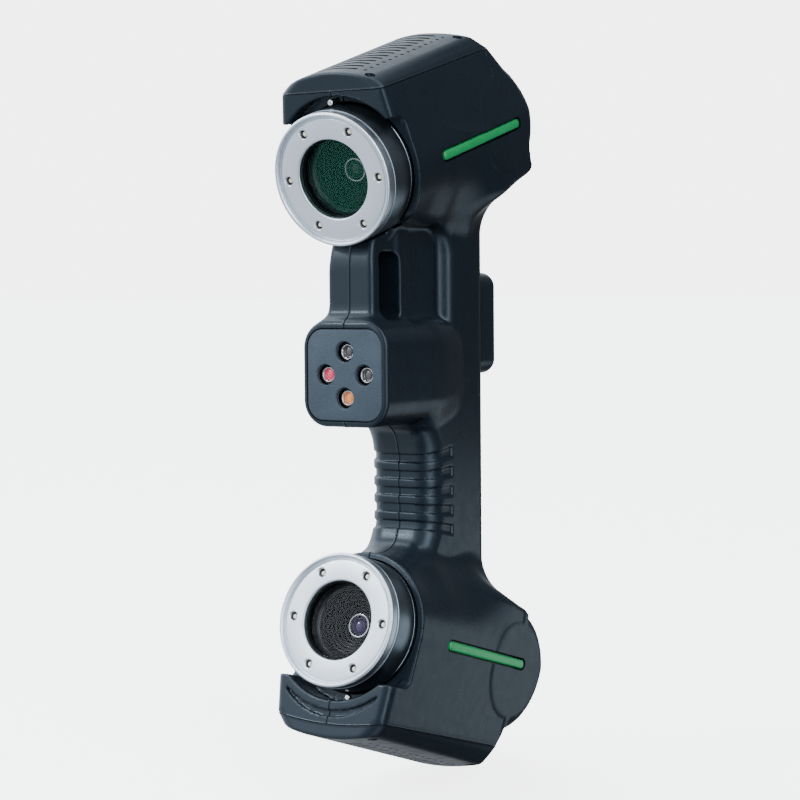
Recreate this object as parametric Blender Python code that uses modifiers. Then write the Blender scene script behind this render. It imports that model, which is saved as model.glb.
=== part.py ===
"""Handheld scanner: two tilted camera heads joined by a grip, with a laser block in the middle.

Units are metres, +Z up. The front of the scanner, where its lenses look, faces -Y.
The origin is the centre of the grip. The operator holds it from behind, so "left" is +X.
"""

import math

import bmesh
import bpy
from mathutils import Matrix, Vector

MM = 0.001

# ---------------------------------------------------------------- driving dimensions
GAP = 0.3 * MM                      # clearance between neighbouring pieces
WALL = 2.5 * MM                     # wall of the moulded shells
HEAD_TILT = math.radians(16.0)      # both lens axes lean towards the work by this much
HEAD_FORWARD = 68.1 * MM            # from the grip's centre line forward to the ring faces
LENS_SPACING = 170.0 * MM           # between the two ring centres
LENS_MID_HEIGHT = 38.0 * MM         # the middle of the two lenses, above the grip's centre

RING_RADIUS = 26.3 * MM
RING_OPENING = 15.5 * MM
RING_THICKNESS = 2.5 * MM
RING_RIM = 1.6 * MM                 # the rim stands this far proud of the ring's face
LED_CIRCLE = 20.7 * MM
LED_HOLE = 1.6 * MM
LED_COUNT = 6
BARREL_RADIUS = 26.4 * MM
BARREL_BORE = 23.8 * MM
BARREL_END = 24.0 * MM
COLLAR_RADIUS = 30.0 * MM           # lower half of each head, round about the lens axis
COLLAR_FACE = 16.0 * MM             # depth of the housing's front behind the ring face
ARCH_RADIUS = 30.6 * MM             # the visor's arched cut-out

HANDLE_HALF_WIDTH = 16.25 * MM
HANDLE_HALF_DEPTH = 22.35 * MM
HANDLE_CORNER = 9.5 * MM
BLOCK_FRONT = -61.4 * MM
BLOCK_HEIGHT = 47.7 * MM            # centre of the laser block above the grip's centre
BLOCK_HALF_WIDTH = 19.8 * MM
BLOCK_HALF_HEIGHT = 20.3 * MM
BLOCK_CORNER = 10.5 * MM
PLATE_MARGIN = 2.4 * MM
PLATE_THICKNESS = 2.0 * MM
LASER_CIRCLE = 9.0 * MM
LASER_HOLE = 4.1 * MM
MODULE_RADIUS = 3.7 * MM

KEYPAD_LOW = 45.3 * MM
KEYPAD_HIGH = 87.7 * MM
KEYPAD_HALF_WIDTH = 12.4 * MM
KEYPAD_BACK = 36.0 * MM
BUTTON_TRAVEL = 0.8 * MM

VISOR_SCREW_W = 28.4 * MM           # height of the small screw between visor and barrel
SOCKET_INSET = 1.2 * MM             # the cable socket sits this far inside the bulb's end
SOCKET_FLANGE = 8.6 * MM
SOCKET_FLANGE_THICKNESS = 1.5 * MM
SOCKET_BODY = 6.6 * MM
SOCKET_BORE = 5.0 * MM
SOCKET_LENGTH = 14.0 * MM
SOCKET_DEPTH = 11.0 * MM

BAR_POCKET = 58.4 * MM              # between the end centres of a light bar's pocket

SLOT_COUNT = 14
SLOT_WIDTH = 1.7 * MM
SLOT_HALF_LENGTH = 9.3 * MM


class Head:
    """Sizes of one camera head, in its own frame: u across, v back along the lens, w outward."""

    def __init__(self, name, sign, visor, roof, crown, edge, seam, bulb, bar, slots, screws,
                 pin):
        self.name = name
        self.sign = sign                # +1 for the top head, -1 for the bottom one
        self.visor = visor              # depth of the visor's front face
        self.roof = roof                # depths where the roof starts to drop and stops dropping
        self.crown = crown              # roof height at the front and at the back, on the middle
        self.edge = edge                # half width and drop below the crown of the roof's edge
        self.seam = seam                # height of the cover's seam and half width there
        self.bulb = bulb                # centre v, centre w and radius of the round back
        self.bar = bar                  # where the light bars' pockets start, and their height
        self.slots = slots              # first and last vent slot
        self.screws = screws            # front and rear cover screws, and their u
        self.pin = pin                  # depth of the seat of the small screw under the visor
        across = Vector((sign, 0, 0))
        back = Vector((0, math.cos(HEAD_TILT), sign * math.sin(HEAD_TILT)))
        outward = Vector((0, -math.sin(HEAD_TILT), sign * math.cos(HEAD_TILT)))
        centre = Vector((0, -HEAD_FORWARD, LENS_MID_HEIGHT + sign * LENS_SPACING / 2))
        self.matrix = Matrix((across, back, outward)).transposed().to_4x4()
        self.matrix.translation = centre


TOP = Head("top", 1, visor=8.0 * MM, roof=(81.0 * MM, 94.0 * MM), crown=(40.2 * MM, 41.5 * MM),
           edge=(19.8 * MM, 3.5 * MM), seam=(32.5 * MM, 24.4 * MM),
           bulb=(86.9 * MM, 2.2 * MM, 25.8 * MM), bar=(36.6 * MM, -0.4 * MM),
           slots=(15.5 * MM, 75.0 * MM), screws=(11.5 * MM, 79.0 * MM, 17.0 * MM), pin=7.6 * MM)
BOTTOM = Head("bottom", -1, visor=3.3 * MM, roof=(88.0 * MM, 100.5 * MM), crown=(45.0 * MM, 48.8 * MM),
              edge=(21.5 * MM, 3.0 * MM), seam=(37.5 * MM, 25.6 * MM),
              bulb=(94.7 * MM, 4.4 * MM, 26.4 * MM), bar=(39.4 * MM, 2.4 * MM),
              slots=(17.0 * MM, 82.0 * MM), screws=(9.0 * MM, 86.0 * MM, 18.4 * MM), pin=16.0 * MM)
HEADS = (TOP, BOTTOM)

# ---------------------------------------------------------------- scene and helpers
for old in list(bpy.data.objects):
    bpy.data.objects.remove(old, do_unlink=True)

PARTS = bpy.data.collections.new("handheld_scanner")
bpy.context.scene.collection.children.link(PARTS)


def material(name, color, roughness, metallic=0.0):
    """A plain Principled material for one sub-part."""
    made = bpy.data.materials.new(name)
    made.use_nodes = True
    shader = made.node_tree.nodes["Principled BSDF"]
    shader.inputs["Base Color"].default_value = (*color, 1.0)
    shader.inputs["Roughness"].default_value = roughness
    shader.inputs["Metallic"].default_value = metallic
    made.diffuse_color = (*color, 1.0)
    return made


FINISHES = {
    "housing": ((0.030, 0.034, 0.042), 0.42, 0.0),
    "plate": ((0.050, 0.054, 0.062), 0.60, 0.0),
    "silver": ((0.72, 0.73, 0.75), 0.30, 1.0),
    "dark_metal": ((0.10, 0.11, 0.12), 0.30, 1.0),
    "aluminium": ((0.60, 0.61, 0.63), 0.40, 1.0),
    "black_metal": ((0.02, 0.02, 0.022), 0.35, 1.0),
    "steel": ((0.55, 0.55, 0.57), 0.30, 1.0),
    "green_light": ((0.02, 0.33, 0.10), 0.30, 0.0),
    "glass": ((0.10, 0.22, 0.17), 0.05, 0.0),
    "rubber": ((0.02, 0.02, 0.02), 0.75, 0.0),
    "board": ((0.02, 0.16, 0.07), 0.55, 0.0),
    "led": ((0.90, 0.84, 0.66), 0.25, 0.0),
    "button": ((0.08, 0.085, 0.095), 0.55, 0.0),
}


def finish(obj, name, kind):
    """Name a finished piece, give it its own material and put it with the parts."""
    obj.name = name
    obj.data.name = name
    obj.data.materials.clear()
    obj.data.materials.append(material(name, *FINISHES[kind]))
    for owner in list(obj.users_collection):
        owner.objects.unlink(obj)
    PARTS.objects.link(obj)
    return obj


def mesh_object(name, mesh, matrix=None):
    """A loose working object around a mesh, placed by a matrix."""
    obj = bpy.data.objects.new(name, mesh)
    bpy.context.scene.collection.objects.link(obj)
    if matrix is not None:
        obj.matrix_world = matrix
    return obj


def bake(obj):
    """Replace an object's data by its evaluated mesh, with no modifiers left."""
    bpy.context.view_layer.update()
    graph = bpy.context.evaluated_depsgraph_get()
    mesh = bpy.data.meshes.new_from_object(obj.evaluated_get(graph))
    matrix = obj.matrix_world.copy()
    name = obj.name
    bpy.data.objects.remove(obj, do_unlink=True)
    work = bmesh.new()
    work.from_mesh(mesh)
    bmesh.ops.remove_doubles(work, verts=work.verts, dist=0.002 * MM)
    work.to_mesh(mesh)
    work.free()
    return mesh_object(name, mesh, matrix)


def combine(target, tool, operation, keep=False):
    """Boolean two solids with the exact solver and return the result as a plain mesh."""
    cut = target.modifiers.new(operation, "BOOLEAN")
    cut.operation = operation
    cut.solver = "EXACT"
    cut.object = tool
    result = bake(target)
    if not keep:
        bpy.data.objects.remove(tool, do_unlink=True)
    return result


def join_all(solids):
    """Union a list of overlapping solids into one body."""
    body = solids[0]
    for other in solids[1:]:
        body = combine(body, other, "UNION")
    return body


def cut_all(body, tools):
    """Take each tool out of a body."""
    for tool in tools:
        body = combine(body, tool, "DIFFERENCE")
    return body


def duplicate(obj):
    """A separate copy of a working object."""
    return mesh_object(obj.name, obj.data.copy(), obj.matrix_world.copy())


def group(name, solids):
    """Join separate solids that don't touch into one object."""
    work = bmesh.new()
    for solid in solids:
        first = len(work.verts)
        work.from_mesh(solid.data)
        work.verts.ensure_lookup_table()
        for vert in work.verts[first:]:
            vert.co = solid.matrix_world @ vert.co
        bpy.data.objects.remove(solid, do_unlink=True)
    mesh = bpy.data.meshes.new(name)
    work.to_mesh(mesh)
    work.free()
    return mesh_object(name, mesh)


def smooth(obj, degrees=35.0):
    """Shade round pieces smooth, keeping their sharp edges."""
    obj.data.shade_smooth()
    obj.data.set_sharp_from_angle(angle=math.radians(degrees))
    return obj


def box(low, high, matrix=None, bevel=0.0):
    """A box between two corners, optionally with bevelled edges."""
    work = bmesh.new()
    low, high = Vector(low), Vector(high)
    size = high - low
    place = Matrix.Translation((low + high) / 2) @ Matrix.Diagonal((*size, 1.0))
    bmesh.ops.create_cube(work, size=1.0, matrix=place)
    mesh = bpy.data.meshes.new("box")
    work.to_mesh(mesh)
    work.free()
    obj = mesh_object("box", mesh, matrix)
    if bevel:
        edge = obj.modifiers.new("edges", "BEVEL")
        edge.width = bevel
        edge.segments = 2
        obj = bake(obj)
    return obj


def cylinder(radius, start, end, matrix, segments=24):
    """A closed cylinder about the frame's v axis (its local Y), from one depth to another."""
    work = bmesh.new()
    bmesh.ops.create_cone(work, cap_ends=True, segments=segments, radius1=radius, radius2=radius,
                          depth=end - start)
    turn = Matrix.Translation((0, (start + end) / 2, 0)) @ Matrix.Rotation(math.pi / 2, 4, "X")
    bmesh.ops.transform(work, matrix=turn, verts=work.verts)
    bmesh.ops.recalc_face_normals(work, faces=work.faces)
    mesh = bpy.data.meshes.new("cylinder")
    work.to_mesh(mesh)
    work.free()
    return mesh_object("cylinder", mesh, matrix)


def turned(profile, matrix, segments=24):
    """Turn a closed (radius, depth) profile about the frame's v axis with a Screw modifier."""
    mesh = bpy.data.meshes.new("turned")
    points = [(radius, depth, 0) for radius, depth in profile]
    edges = [(i, (i + 1) % len(points)) for i in range(len(points))]
    mesh.from_pydata(points, edges, [])
    obj = mesh_object("turned", mesh, matrix)
    spin = obj.modifiers.new("turn", "SCREW")
    spin.axis = "Y"
    spin.steps = segments
    spin.render_steps = segments
    spin.use_merge_vertices = True
    spin.merge_threshold = 0.00001
    spin.use_normal_calculate = True
    obj = bake(obj)
    work = bmesh.new()
    work.from_mesh(obj.data)
    bmesh.ops.recalc_face_normals(work, faces=work.faces)
    work.to_mesh(obj.data)
    work.free()
    return obj


def tube(outer, inner, start, end, matrix, segments=24):
    """A plain ring or sleeve."""
    profile = [(outer, start), (outer, end), (inner, end), (inner, start)]
    return turned(profile, matrix, segments)


def outline_solid(points, half_depth, matrix):
    """A flat outline, drawn in local X and Y, thickened both ways along local Z."""
    curve = bpy.data.curves.new("outline", "CURVE")
    curve.dimensions = "2D"
    curve.fill_mode = "BOTH"
    curve.extrude = half_depth
    spline = curve.splines.new("POLY")
    spline.points.add(len(points) - 1)
    for point, (x, y) in zip(spline.points, points):
        point.co = (x, y, 0, 1)
    spline.use_cyclic_u = True
    return bake(mesh_object("outline", curve, matrix))


def loft(sections):
    """Skin a stack of closed sections that all have the same number of points."""
    work = bmesh.new()
    rings = [[work.verts.new(point) for point in section] for section in sections]
    count = len(rings[0])
    for lower, upper in zip(rings, rings[1:]):
        for i in range(count):
            j = (i + 1) % count
            work.faces.new((lower[i], lower[j], upper[j], upper[i]))
    work.faces.new(rings[0][::-1])
    work.faces.new(rings[-1])
    bmesh.ops.recalc_face_normals(work, faces=work.faces)
    mesh = bpy.data.meshes.new("loft")
    work.to_mesh(mesh)
    work.free()
    return mesh_object("loft", mesh)


def arc(cx, cy, radius, start, end, steps):
    """Points along an arc, angles in degrees, both ends included."""
    angles = [math.radians(start + (end - start) * i / steps) for i in range(steps + 1)]
    return [(cx + radius * math.cos(a), cy + radius * math.sin(a)) for a in angles]


def rounded_rectangle(x0, x1, y0, y1, radius, steps=4):
    """A rectangle with round corners, anticlockwise."""
    return (arc(x1 - radius, y0 + radius, radius, -90, 0, steps)
            + arc(x1 - radius, y1 - radius, radius, 0, 90, steps)
            + arc(x0 + radius, y1 - radius, radius, 90, 180, steps)
            + arc(x0 + radius, y0 + radius, radius, 180, 270, steps))


def stadium(x0, x1, y, half_height, steps=6):
    """A slot outline between two end centres."""
    return (arc(x1, y, half_height, -90, 90, steps)
            + arc(x0, y, half_height, 90, 270, steps))


def plane_frame(head, u_offset=0.0):
    """A frame whose local X is v and local Y is w, for outlines on a head's side."""
    turn = Matrix(((0, 0, 1), (1, 0, 0), (0, 1, 0))).to_4x4()
    return head.matrix @ Matrix.Translation((u_offset, 0, 0)) @ turn


def roof_frame(head, height):
    """A frame whose local X is v and local Y is u, level with a head's roof."""
    turn = Matrix(((0, -1, 0), (1, 0, 0), (0, 0, 1))).to_4x4()
    return head.matrix @ Matrix.Translation((0, 0, height)) @ turn


# ---------------------------------------------------------------- outer form, also used for the hollow
VISOR_LOW = 21.5 * MM               # the visor reaches down to here beside the ring
UNDERSIDE_V = 40.0 * MM             # the underside runs level back to here, then rises to the bulb
PLAN_CORNER = 10.0 * MM
JOINT_W = -21.5 * MM                # height in a head's frame where the grip's fillets end
JOINT_HALF_WIDTH = 20.4 * MM
JOINT_FRONT = 7.0 * MM
FILLET_HEIGHT = 17.0 * MM


def head_section(head, inset, depth, crown):
    """One upright section of a head: round below, sloped sides, crowned roof."""
    half, drop = head.edge
    seam_w, seam_half = head.seam
    points = arc(0, 0, COLLAR_RADIUS - inset, 180, 360, 14)
    points.append((seam_half - inset, seam_w))
    steps = 6
    for i in range(steps + 1):
        t = 1 - 2 * i / steps
        points.append(((half - inset) * t, crown - inset - drop * t * t))
    points.append((inset - seam_half, seam_w))
    return [head.matrix @ Vector((u, depth, w)) for u, w in points]


def bulb_angle(head, inset):
    """Angle on the bulb's arc where the roof's rear slope meets it, in degrees."""
    centre_v = head.bulb[0]
    radius = head.bulb[2] - inset
    return math.degrees(math.acos((head.roof[1] - inset * 0.5 - centre_v) / radius))


def head_solid(head, inset=0.0):
    """A head as three crossed outlines: sections, side view and plan."""
    bulb_v, bulb_w, bulb_r = head.bulb
    radius = bulb_r - inset
    end = bulb_v + radius
    slope = (head.crown[1] - head.crown[0]) / (head.roof[0] - head.visor)
    front, rear = 0.0, end + 5 * MM
    crowns = [head.crown[0] + slope * (v - head.visor) for v in (front, rear)]
    body = loft([head_section(head, inset, front, crowns[0]),
                 head_section(head, inset, rear, crowns[1])])
    top = 60 * MM
    face = COLLAR_FACE + inset
    side = [(face, -40 * MM), (face, VISOR_LOW), (head.visor, VISOR_LOW), (head.visor, top)]
    if inset:
        side = [(face, -40 * MM), (face, top)]
    roof_top = head.crown[1] - inset
    rise = head.roof[1] - head.roof[0]
    fall = roof_top - (bulb_w + radius * math.sin(math.radians(bulb_angle(head, inset))))
    over = (top - roof_top) / fall * rise
    side.append((head.roof[0] - inset * 0.5 - over, top))
    side += arc(bulb_v, bulb_w, radius, bulb_angle(head, inset), -90, 12)
    side.append((UNDERSIDE_V, inset - COLLAR_RADIUS))
    side.append((UNDERSIDE_V, -40 * MM))
    body = combine(body, outline_solid(side, 45 * MM, plane_frame(head)), "INTERSECT")
    half = COLLAR_RADIUS - inset + 0.02 * MM
    plan = rounded_rectangle(-60 * MM, end, -half, half, PLAN_CORNER, 5)
    return combine(body, outline_solid(plan, 80 * MM, roof_frame(head, 0)), "INTERSECT")


def flare(t):
    """How far a quarter-round fillet has come out, both as fractions from 0 to 1."""
    return 1 - math.sqrt(max(1 - t * t, 0.0))


def joint_heights(head):
    """Heights on the grip's axis where a head's fillets start and where they end."""
    depth = (HEAD_FORWARD + JOINT_W * math.sin(HEAD_TILT)) / math.cos(HEAD_TILT)
    end = (head.matrix @ Vector((0, depth, JOINT_W))).z
    return end - head.sign * FILLET_HEIGHT, end


def joint_back(head):
    """How far back a head's bulb reaches where the fillets end, less a little cover."""
    bulb_v, bulb_w, bulb_r = head.bulb
    reach = bulb_v + math.sqrt(bulb_r ** 2 - (bulb_w - JOINT_W) ** 2)
    return (head.matrix @ Vector((0, reach - 1.2 * MM, JOINT_W))).y


def handle_section(half, front, back, height, tilt, corner):
    """One section of the grip: a rounded rectangle in a plane that leans with the heads."""
    outline = rounded_rectangle(-half, half, -front, back, corner)
    return [Vector((x, y, height + y * math.tan(tilt))) for x, y in outline]


def handle_solid(inset=0.0):
    """The upright grip with its fillets into both heads, skinned through its sections."""
    sections = []
    steps = 6
    for head in (BOTTOM, TOP):
        start, end = joint_heights(head)
        stack = []
        for i in range(steps + 1):
            t = i / steps
            half = HANDLE_HALF_WIDTH + (JOINT_HALF_WIDTH - HANDLE_HALF_WIDTH) * flare(t)
            back = HANDLE_HALF_DEPTH + (joint_back(head) - HANDLE_HALF_DEPTH) * flare(t)
            front = HANDLE_HALF_DEPTH + JOINT_FRONT * flare(t)
            stack.append(handle_section(half - inset, front - inset, back - inset,
                                        start + (end - start) * t, head.sign * HEAD_TILT * t,
                                        HANDLE_CORNER + 3 * MM * t - inset * 0.6))
        buried = end + head.sign * 9 * MM
        stack.append(handle_section(HANDLE_HALF_WIDTH - inset, HANDLE_HALF_DEPTH - inset,
                                    HANDLE_HALF_DEPTH - inset, buried, head.sign * HEAD_TILT,
                                    HANDLE_CORNER - inset * 0.6))
        if head is BOTTOM:
            stack.reverse()
            swell = [(15 * MM, 0.0), (20 * MM, 0.8 * MM), (24 * MM, 3.0 * MM), (28 * MM, 7.0 * MM)]
            for z, extra in swell:
                stack.append(handle_section(HANDLE_HALF_WIDTH - inset,
                                            HANDLE_HALF_DEPTH + extra - inset,
                                            HANDLE_HALF_DEPTH - inset, z, 0.0,
                                            HANDLE_CORNER - inset * 0.6))
            stack.append(handle_section(HANDLE_HALF_WIDTH - inset, HANDLE_HALF_DEPTH - inset,
                                        HANDLE_HALF_DEPTH - inset, 40 * MM, 0.0,
                                        HANDLE_CORNER - inset * 0.6))
        sections += stack
    return loft(sections)


def block_solid(inset=0.0, front=BLOCK_FRONT):
    """The laser block, narrowing into the grip behind it."""
    stations = [(front, 0.9 * MM), (front + 1.2 * MM, 0.0), (-30 * MM, 0.0), (-5 * MM, 3.8 * MM)]
    sections = []
    for y, less in stations:
        half_x = BLOCK_HALF_WIDTH - less - inset
        half_z = BLOCK_HALF_HEIGHT - less - inset
        outline = rounded_rectangle(-half_x, half_x, BLOCK_HEIGHT - half_z, BLOCK_HEIGHT + half_z,
                                    BLOCK_CORNER - inset * 0.8, 5)
        sections.append([Vector((x, y, z)) for x, z in outline])
    return loft(sections)


STRUT_FRONT = -57.0 * MM
STRUT_HALF_WIDTH = 10.2 * MM
WEB_HALF_WIDTH = 11.0 * MM
WINDOW_FRONT = -51.4 * MM
WINDOW_BACK = -38.5 * MM
WINDOW_LOW = 69.0 * MM
WINDOW_HIGH = 95.0 * MM


def strut_solid():
    """The strut and web between the laser block and the top head, with the finger window."""
    strut = box((-STRUT_HALF_WIDTH, STRUT_FRONT, 60 * MM), (STRUT_HALF_WIDTH, -30 * MM, 108 * MM))
    web = box((-WEB_HALF_WIDTH, WINDOW_BACK - 2 * MM, 58 * MM), (WEB_HALF_WIDTH, -10 * MM, 110 * MM))
    outline = rounded_rectangle(WINDOW_FRONT, WINDOW_BACK, WINDOW_LOW, WINDOW_HIGH, 5.5 * MM, 5)
    turn = Matrix(((0, 0, 1), (1, 0, 0), (0, 1, 0))).to_4x4()
    window = outline_solid(outline, 40 * MM, turn)
    return combine(combine(strut, web, "UNION"), window, "DIFFERENCE")


GROOVE_COUNT = 5
GROOVE_TOP = 13.0 * MM              # middle of the highest finger groove
GROOVE_PITCH = 6.75 * MM
GROOVE_HEIGHT = 3.3 * MM
GROOVE_DEPTH = 0.8 * MM
GROOVE_END = -7.5 * MM              # the grooves run back to here


def groove_cutters():
    """Shallow finger grooves round the front of the grip."""
    bands = []
    for i in range(GROOVE_COUNT):
        low = GROOVE_TOP - GROOVE_PITCH * i - GROOVE_HEIGHT / 2
        bands.append(box((-30 * MM, -40 * MM, low), (30 * MM, GROOVE_END, low + GROOVE_HEIGHT)))
    return combine(group("grooves", bands), handle_solid(GROOVE_DEPTH), "DIFFERENCE")


# ---------------------------------------------------------------- housing shells and covers
BOSSES = ((14 * MM, -20 * MM, 15.0 * MM), (14 * MM, 98 * MM, 15.0 * MM))
HEAD_BOSS = {"top": (82 * MM, 17 * MM, 25.2 * MM), "bottom": (88 * MM, 17 * MM, 27.2 * MM)}
BOSS_RADIUS = 3.2 * MM
PILOT_RADIUS = 1.4 * MM
SCREW_HEAD = 2.0 * MM


def across_frame(y, z):
    """A frame whose local Y runs along world +X, through a point of the middle plane."""
    turn = Matrix(((0, 1, 0), (0, 0, 1), (1, 0, 0))).to_4x4()
    return Matrix.Translation((0, y, z)) @ turn


def boss_places():
    """Frames and half lengths of the screw bosses that hold the two halves together."""
    places = [(across_frame(y, z), half) for y, z, half in BOSSES]
    for head in HEADS:
        v, w, half = HEAD_BOSS[head.name]
        point = head.matrix @ Vector((0, v, w))
        places.append((across_frame(point.y, point.z), half))
    return places


def cover_screw_places(head):
    """Upright frames (local Y outward) of a cover's four screws, at the roof's surface."""
    front, rear, across = head.screws
    half, drop = head.edge
    slope = (head.crown[1] - head.crown[0]) / (head.roof[0] - head.visor)
    turn = Matrix(((-1, 0, 0), (0, 0, 1), (0, 1, 0))).to_4x4()
    places = []
    for v in (front, rear):
        for u in (-across, across):
            w = head.crown[0] + slope * (v - head.visor) - drop * (u / half) ** 2
            places.append(head.matrix @ Matrix.Translation((u, v, w)) @ turn)
    return places


def slot_cutters(head):
    """Vent slots across the roof."""
    first, last = head.slots
    pitch = (last - first) / (SLOT_COUNT - 1)
    low = head.crown[0] - 8 * MM
    tools = []
    for i in range(SLOT_COUNT):
        v = first + pitch * i
        tools.append(box((-SLOT_HALF_LENGTH, v - SLOT_WIDTH / 2, low),
                         (SLOT_HALF_LENGTH, v + SLOT_WIDTH / 2, low + 20 * MM), head.matrix))
    return group("slots", tools)


def light_pocket(head, side):
    """The slot in a head's side that takes a light bar."""
    frame = plane_frame(head, side * 29 * MM)
    start, height = head.bar
    outline = stadium(start, start + BAR_POCKET, height, 2.4 * MM)
    return outline_solid(outline, 4 * MM, frame)


def build_shells():
    """Hollow the joined outer form and split it into its halves and covers."""
    arches = {head.name: cylinder(ARCH_RADIUS, -30 * MM, COLLAR_FACE, head.matrix, 48)
              for head in HEADS}
    heads = [combine(head_solid(head), arches[head.name], "DIFFERENCE") for head in HEADS]
    spot = TOP.matrix @ Matrix.Translation((0, 0, VISOR_SCREW_W))
    post = cylinder(2.3 * MM, TOP.pin, COLLAR_FACE + 1 * MM, spot, 16)
    outer = join_all([handle_solid(), *heads, block_solid(), strut_solid(), post])
    outer = combine(outer, groove_cutters(), "DIFFERENCE")
    back = KEYPAD_BACK - 3 * MM
    keypad_hole = box((-9.8 * MM, 15 * MM, KEYPAD_LOW + 2.2 * MM),
                      (9.8 * MM, back, KEYPAD_HIGH - 2.2 * MM))
    hollow = join_all([handle_solid(WALL), *[head_solid(head, WALL) for head in HEADS],
                       block_solid(WALL + 1.6 * MM, BLOCK_FRONT + PLATE_THICKNESS - 1 * MM)])
    hollow = combine(hollow, keypad_hole, "UNION")
    for frame, half in boss_places():
        hollow = combine(hollow, cylinder(BOSS_RADIUS, -half, half, frame, 16), "DIFFERENCE")
    shell = combine(outer, hollow, "DIFFERENCE")

    tools = []
    for head in HEADS:
        tools.append(cylinder(BARREL_RADIUS + GAP, -30 * MM, BARREL_END, head.matrix, 48))
        spot = head.matrix @ Matrix.Translation((0, 0, VISOR_SCREW_W))
        tools.append(cylinder(PILOT_RADIUS, 4 * MM, 22 * MM, spot, 12))
        for side in (-1, 1):
            tools.append(light_pocket(head, side))
        for place in cover_screw_places(head)[:2]:
            tools.append(cylinder(PILOT_RADIUS, -11 * MM, 2 * MM, place, 12))
    plate_half = BLOCK_HALF_WIDTH - PLATE_MARGIN + GAP
    plate_tall = BLOCK_HALF_HEIGHT - PLATE_MARGIN + GAP
    pocket = rounded_rectangle(-plate_half, plate_half, -plate_tall, plate_tall, 7.4 * MM, 5)
    face = Matrix.Translation((0, BLOCK_FRONT, BLOCK_HEIGHT)) @ Matrix.Rotation(math.pi / 2, 4, "X")
    tools.append(outline_solid(pocket, PLATE_THICKNESS + GAP, face))
    seat = BOTTOM.bulb[0] + BOTTOM.bulb[2] - SOCKET_INSET
    place = BOTTOM.matrix @ Matrix.Translation((0, 0, BOTTOM.bulb[1]))
    tools.append(cylinder(SOCKET_FLANGE + GAP, seat - SOCKET_FLANGE_THICKNESS - GAP,
                          seat + 20 * MM, place))
    tools.append(cylinder(SOCKET_BODY + GAP, seat - 20 * MM, seat, place))
    for frame, half in boss_places():
        tools.append(cylinder(PILOT_RADIUS, -half, half - 5 * MM, frame, 12))
        tools.append(cylinder(SCREW_HEAD + GAP, -half - 12 * MM, -half + 0.5 * MM, frame, 16))
    shell = cut_all(shell, tools)

    far = 200 * MM
    for head in HEADS:
        seam = head.seam[0]
        high = box((-far, -far, seam + GAP / 2), (far, far, far), head.matrix)
        low = box((-far, -far, seam - GAP / 2), (far, far, far), head.matrix)
        cover = combine(duplicate(shell), high, "INTERSECT")
        shell = combine(shell, low, "DIFFERENCE")
        for place in cover_screw_places(head)[2:]:
            boss = cylinder(BOSS_RADIUS, -head.crown[1] + seam + 4 * MM, -1.5 * MM, place, 16)
            cover = combine(cover, boss, "UNION")
        for place in cover_screw_places(head):
            cover = combine(cover, cylinder(PILOT_RADIUS, -11 * MM, 2 * MM, place, 12), "DIFFERENCE")
            cover = combine(cover, cylinder(SCREW_HEAD + 0.1 * MM, -2.5 * MM, 5 * MM, place, 16),
                            "DIFFERENCE")
        cover = combine(cover, slot_cutters(head), "DIFFERENCE")
        finish(smooth(cover), head.name + "_vent_cover", "housing")
    for side, name in ((1, "left_housing"), (-1, "right_housing")):
        low = sorted((side * GAP / 2, side * far))
        keep = box((low[0], -far, -far), (low[1], far, far + 100 * MM))
        half = combine(duplicate(shell), keep, "INTERSECT")
        finish(smooth(half), name, "housing")
    bpy.data.objects.remove(shell, do_unlink=True)


# ---------------------------------------------------------------- camera heads
LENS_RADIUS = 13.5 * MM
CAMERA_HALF = 14.5 * MM
CAMERA_FRONT = 34.3 * MM
CAMERA_BACK = 62.0 * MM
PLATE_FRONT = 24.6 * MM             # the frame's annular plates hold the lenses here
PLATE_BACK = 28.6 * MM
GLASS_RADIUS = 17.2 * MM
GLASS_FRONT = 5.1 * MM
GLASS_BACK = 6.6 * MM
BOARD_FRONT = 3.1 * MM
BOARD_THICKNESS = 1.6 * MM
BOARD_RADIUS = 23.4 * MM
SEAL_RADIUS = 19.4 * MM
SLEEVE_BORE = 22.6 * MM             # the sleeve's bore behind its shoulder
SHOULDER = 2.2 * MM                 # thickness of the shoulder behind the window
LENS_BORE = 5.6 * MM
PIN_CIRCLE = 2.7 * MM
PIN_COUNT = 5


def build_ring(head):
    """The silver ring: flat face with six light holes and a raised rim."""
    rim = RING_RADIUS - 1.7 * MM
    profile = [(RING_OPENING + 0.6 * MM, 0), (rim - 0.5 * MM, 0), (rim, -0.4 * MM),
               (rim + 0.3 * MM, -RING_RIM + 0.3 * MM), (rim + 0.8 * MM, -RING_RIM),
               (RING_RADIUS - 0.5 * MM, -RING_RIM), (RING_RADIUS, -RING_RIM + 0.6 * MM),
               (RING_RADIUS, RING_THICKNESS), (RING_OPENING, RING_THICKNESS),
               (RING_OPENING, 0.6 * MM)]
    ring = turned(profile, head.matrix, 36)
    for i in range(LED_COUNT):
        angle = 2 * math.pi * i / LED_COUNT
        spot = Matrix.Translation((LED_CIRCLE * math.cos(angle), 0, LED_CIRCLE * math.sin(angle)))
        hole = cylinder(LED_HOLE, -3 * MM, 5 * MM, head.matrix @ spot, 8)
        ring = combine(ring, hole, "DIFFERENCE")
    finish(smooth(ring), head.name + "_led_ring", "silver")


def build_led_board(head):
    """The annular board behind the ring, with its six LEDs standing in the ring's holes."""
    back = BOARD_FRONT + BOARD_THICKNESS
    board = tube(BOARD_RADIUS, RING_OPENING + 0.4 * MM, BOARD_FRONT, back, head.matrix)
    for i in range(LED_COUNT):
        angle = 2 * math.pi * i / LED_COUNT
        spot = Matrix.Translation((LED_CIRCLE * math.cos(angle), 0, LED_CIRCLE * math.sin(angle)))
        led = cylinder(1.2 * MM, 0.7 * MM, BOARD_FRONT + 0.5 * MM, head.matrix @ spot, 8)
        board = combine(board, led, "UNION")
    finish(smooth(board), head.name + "_led_board", "board")


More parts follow.
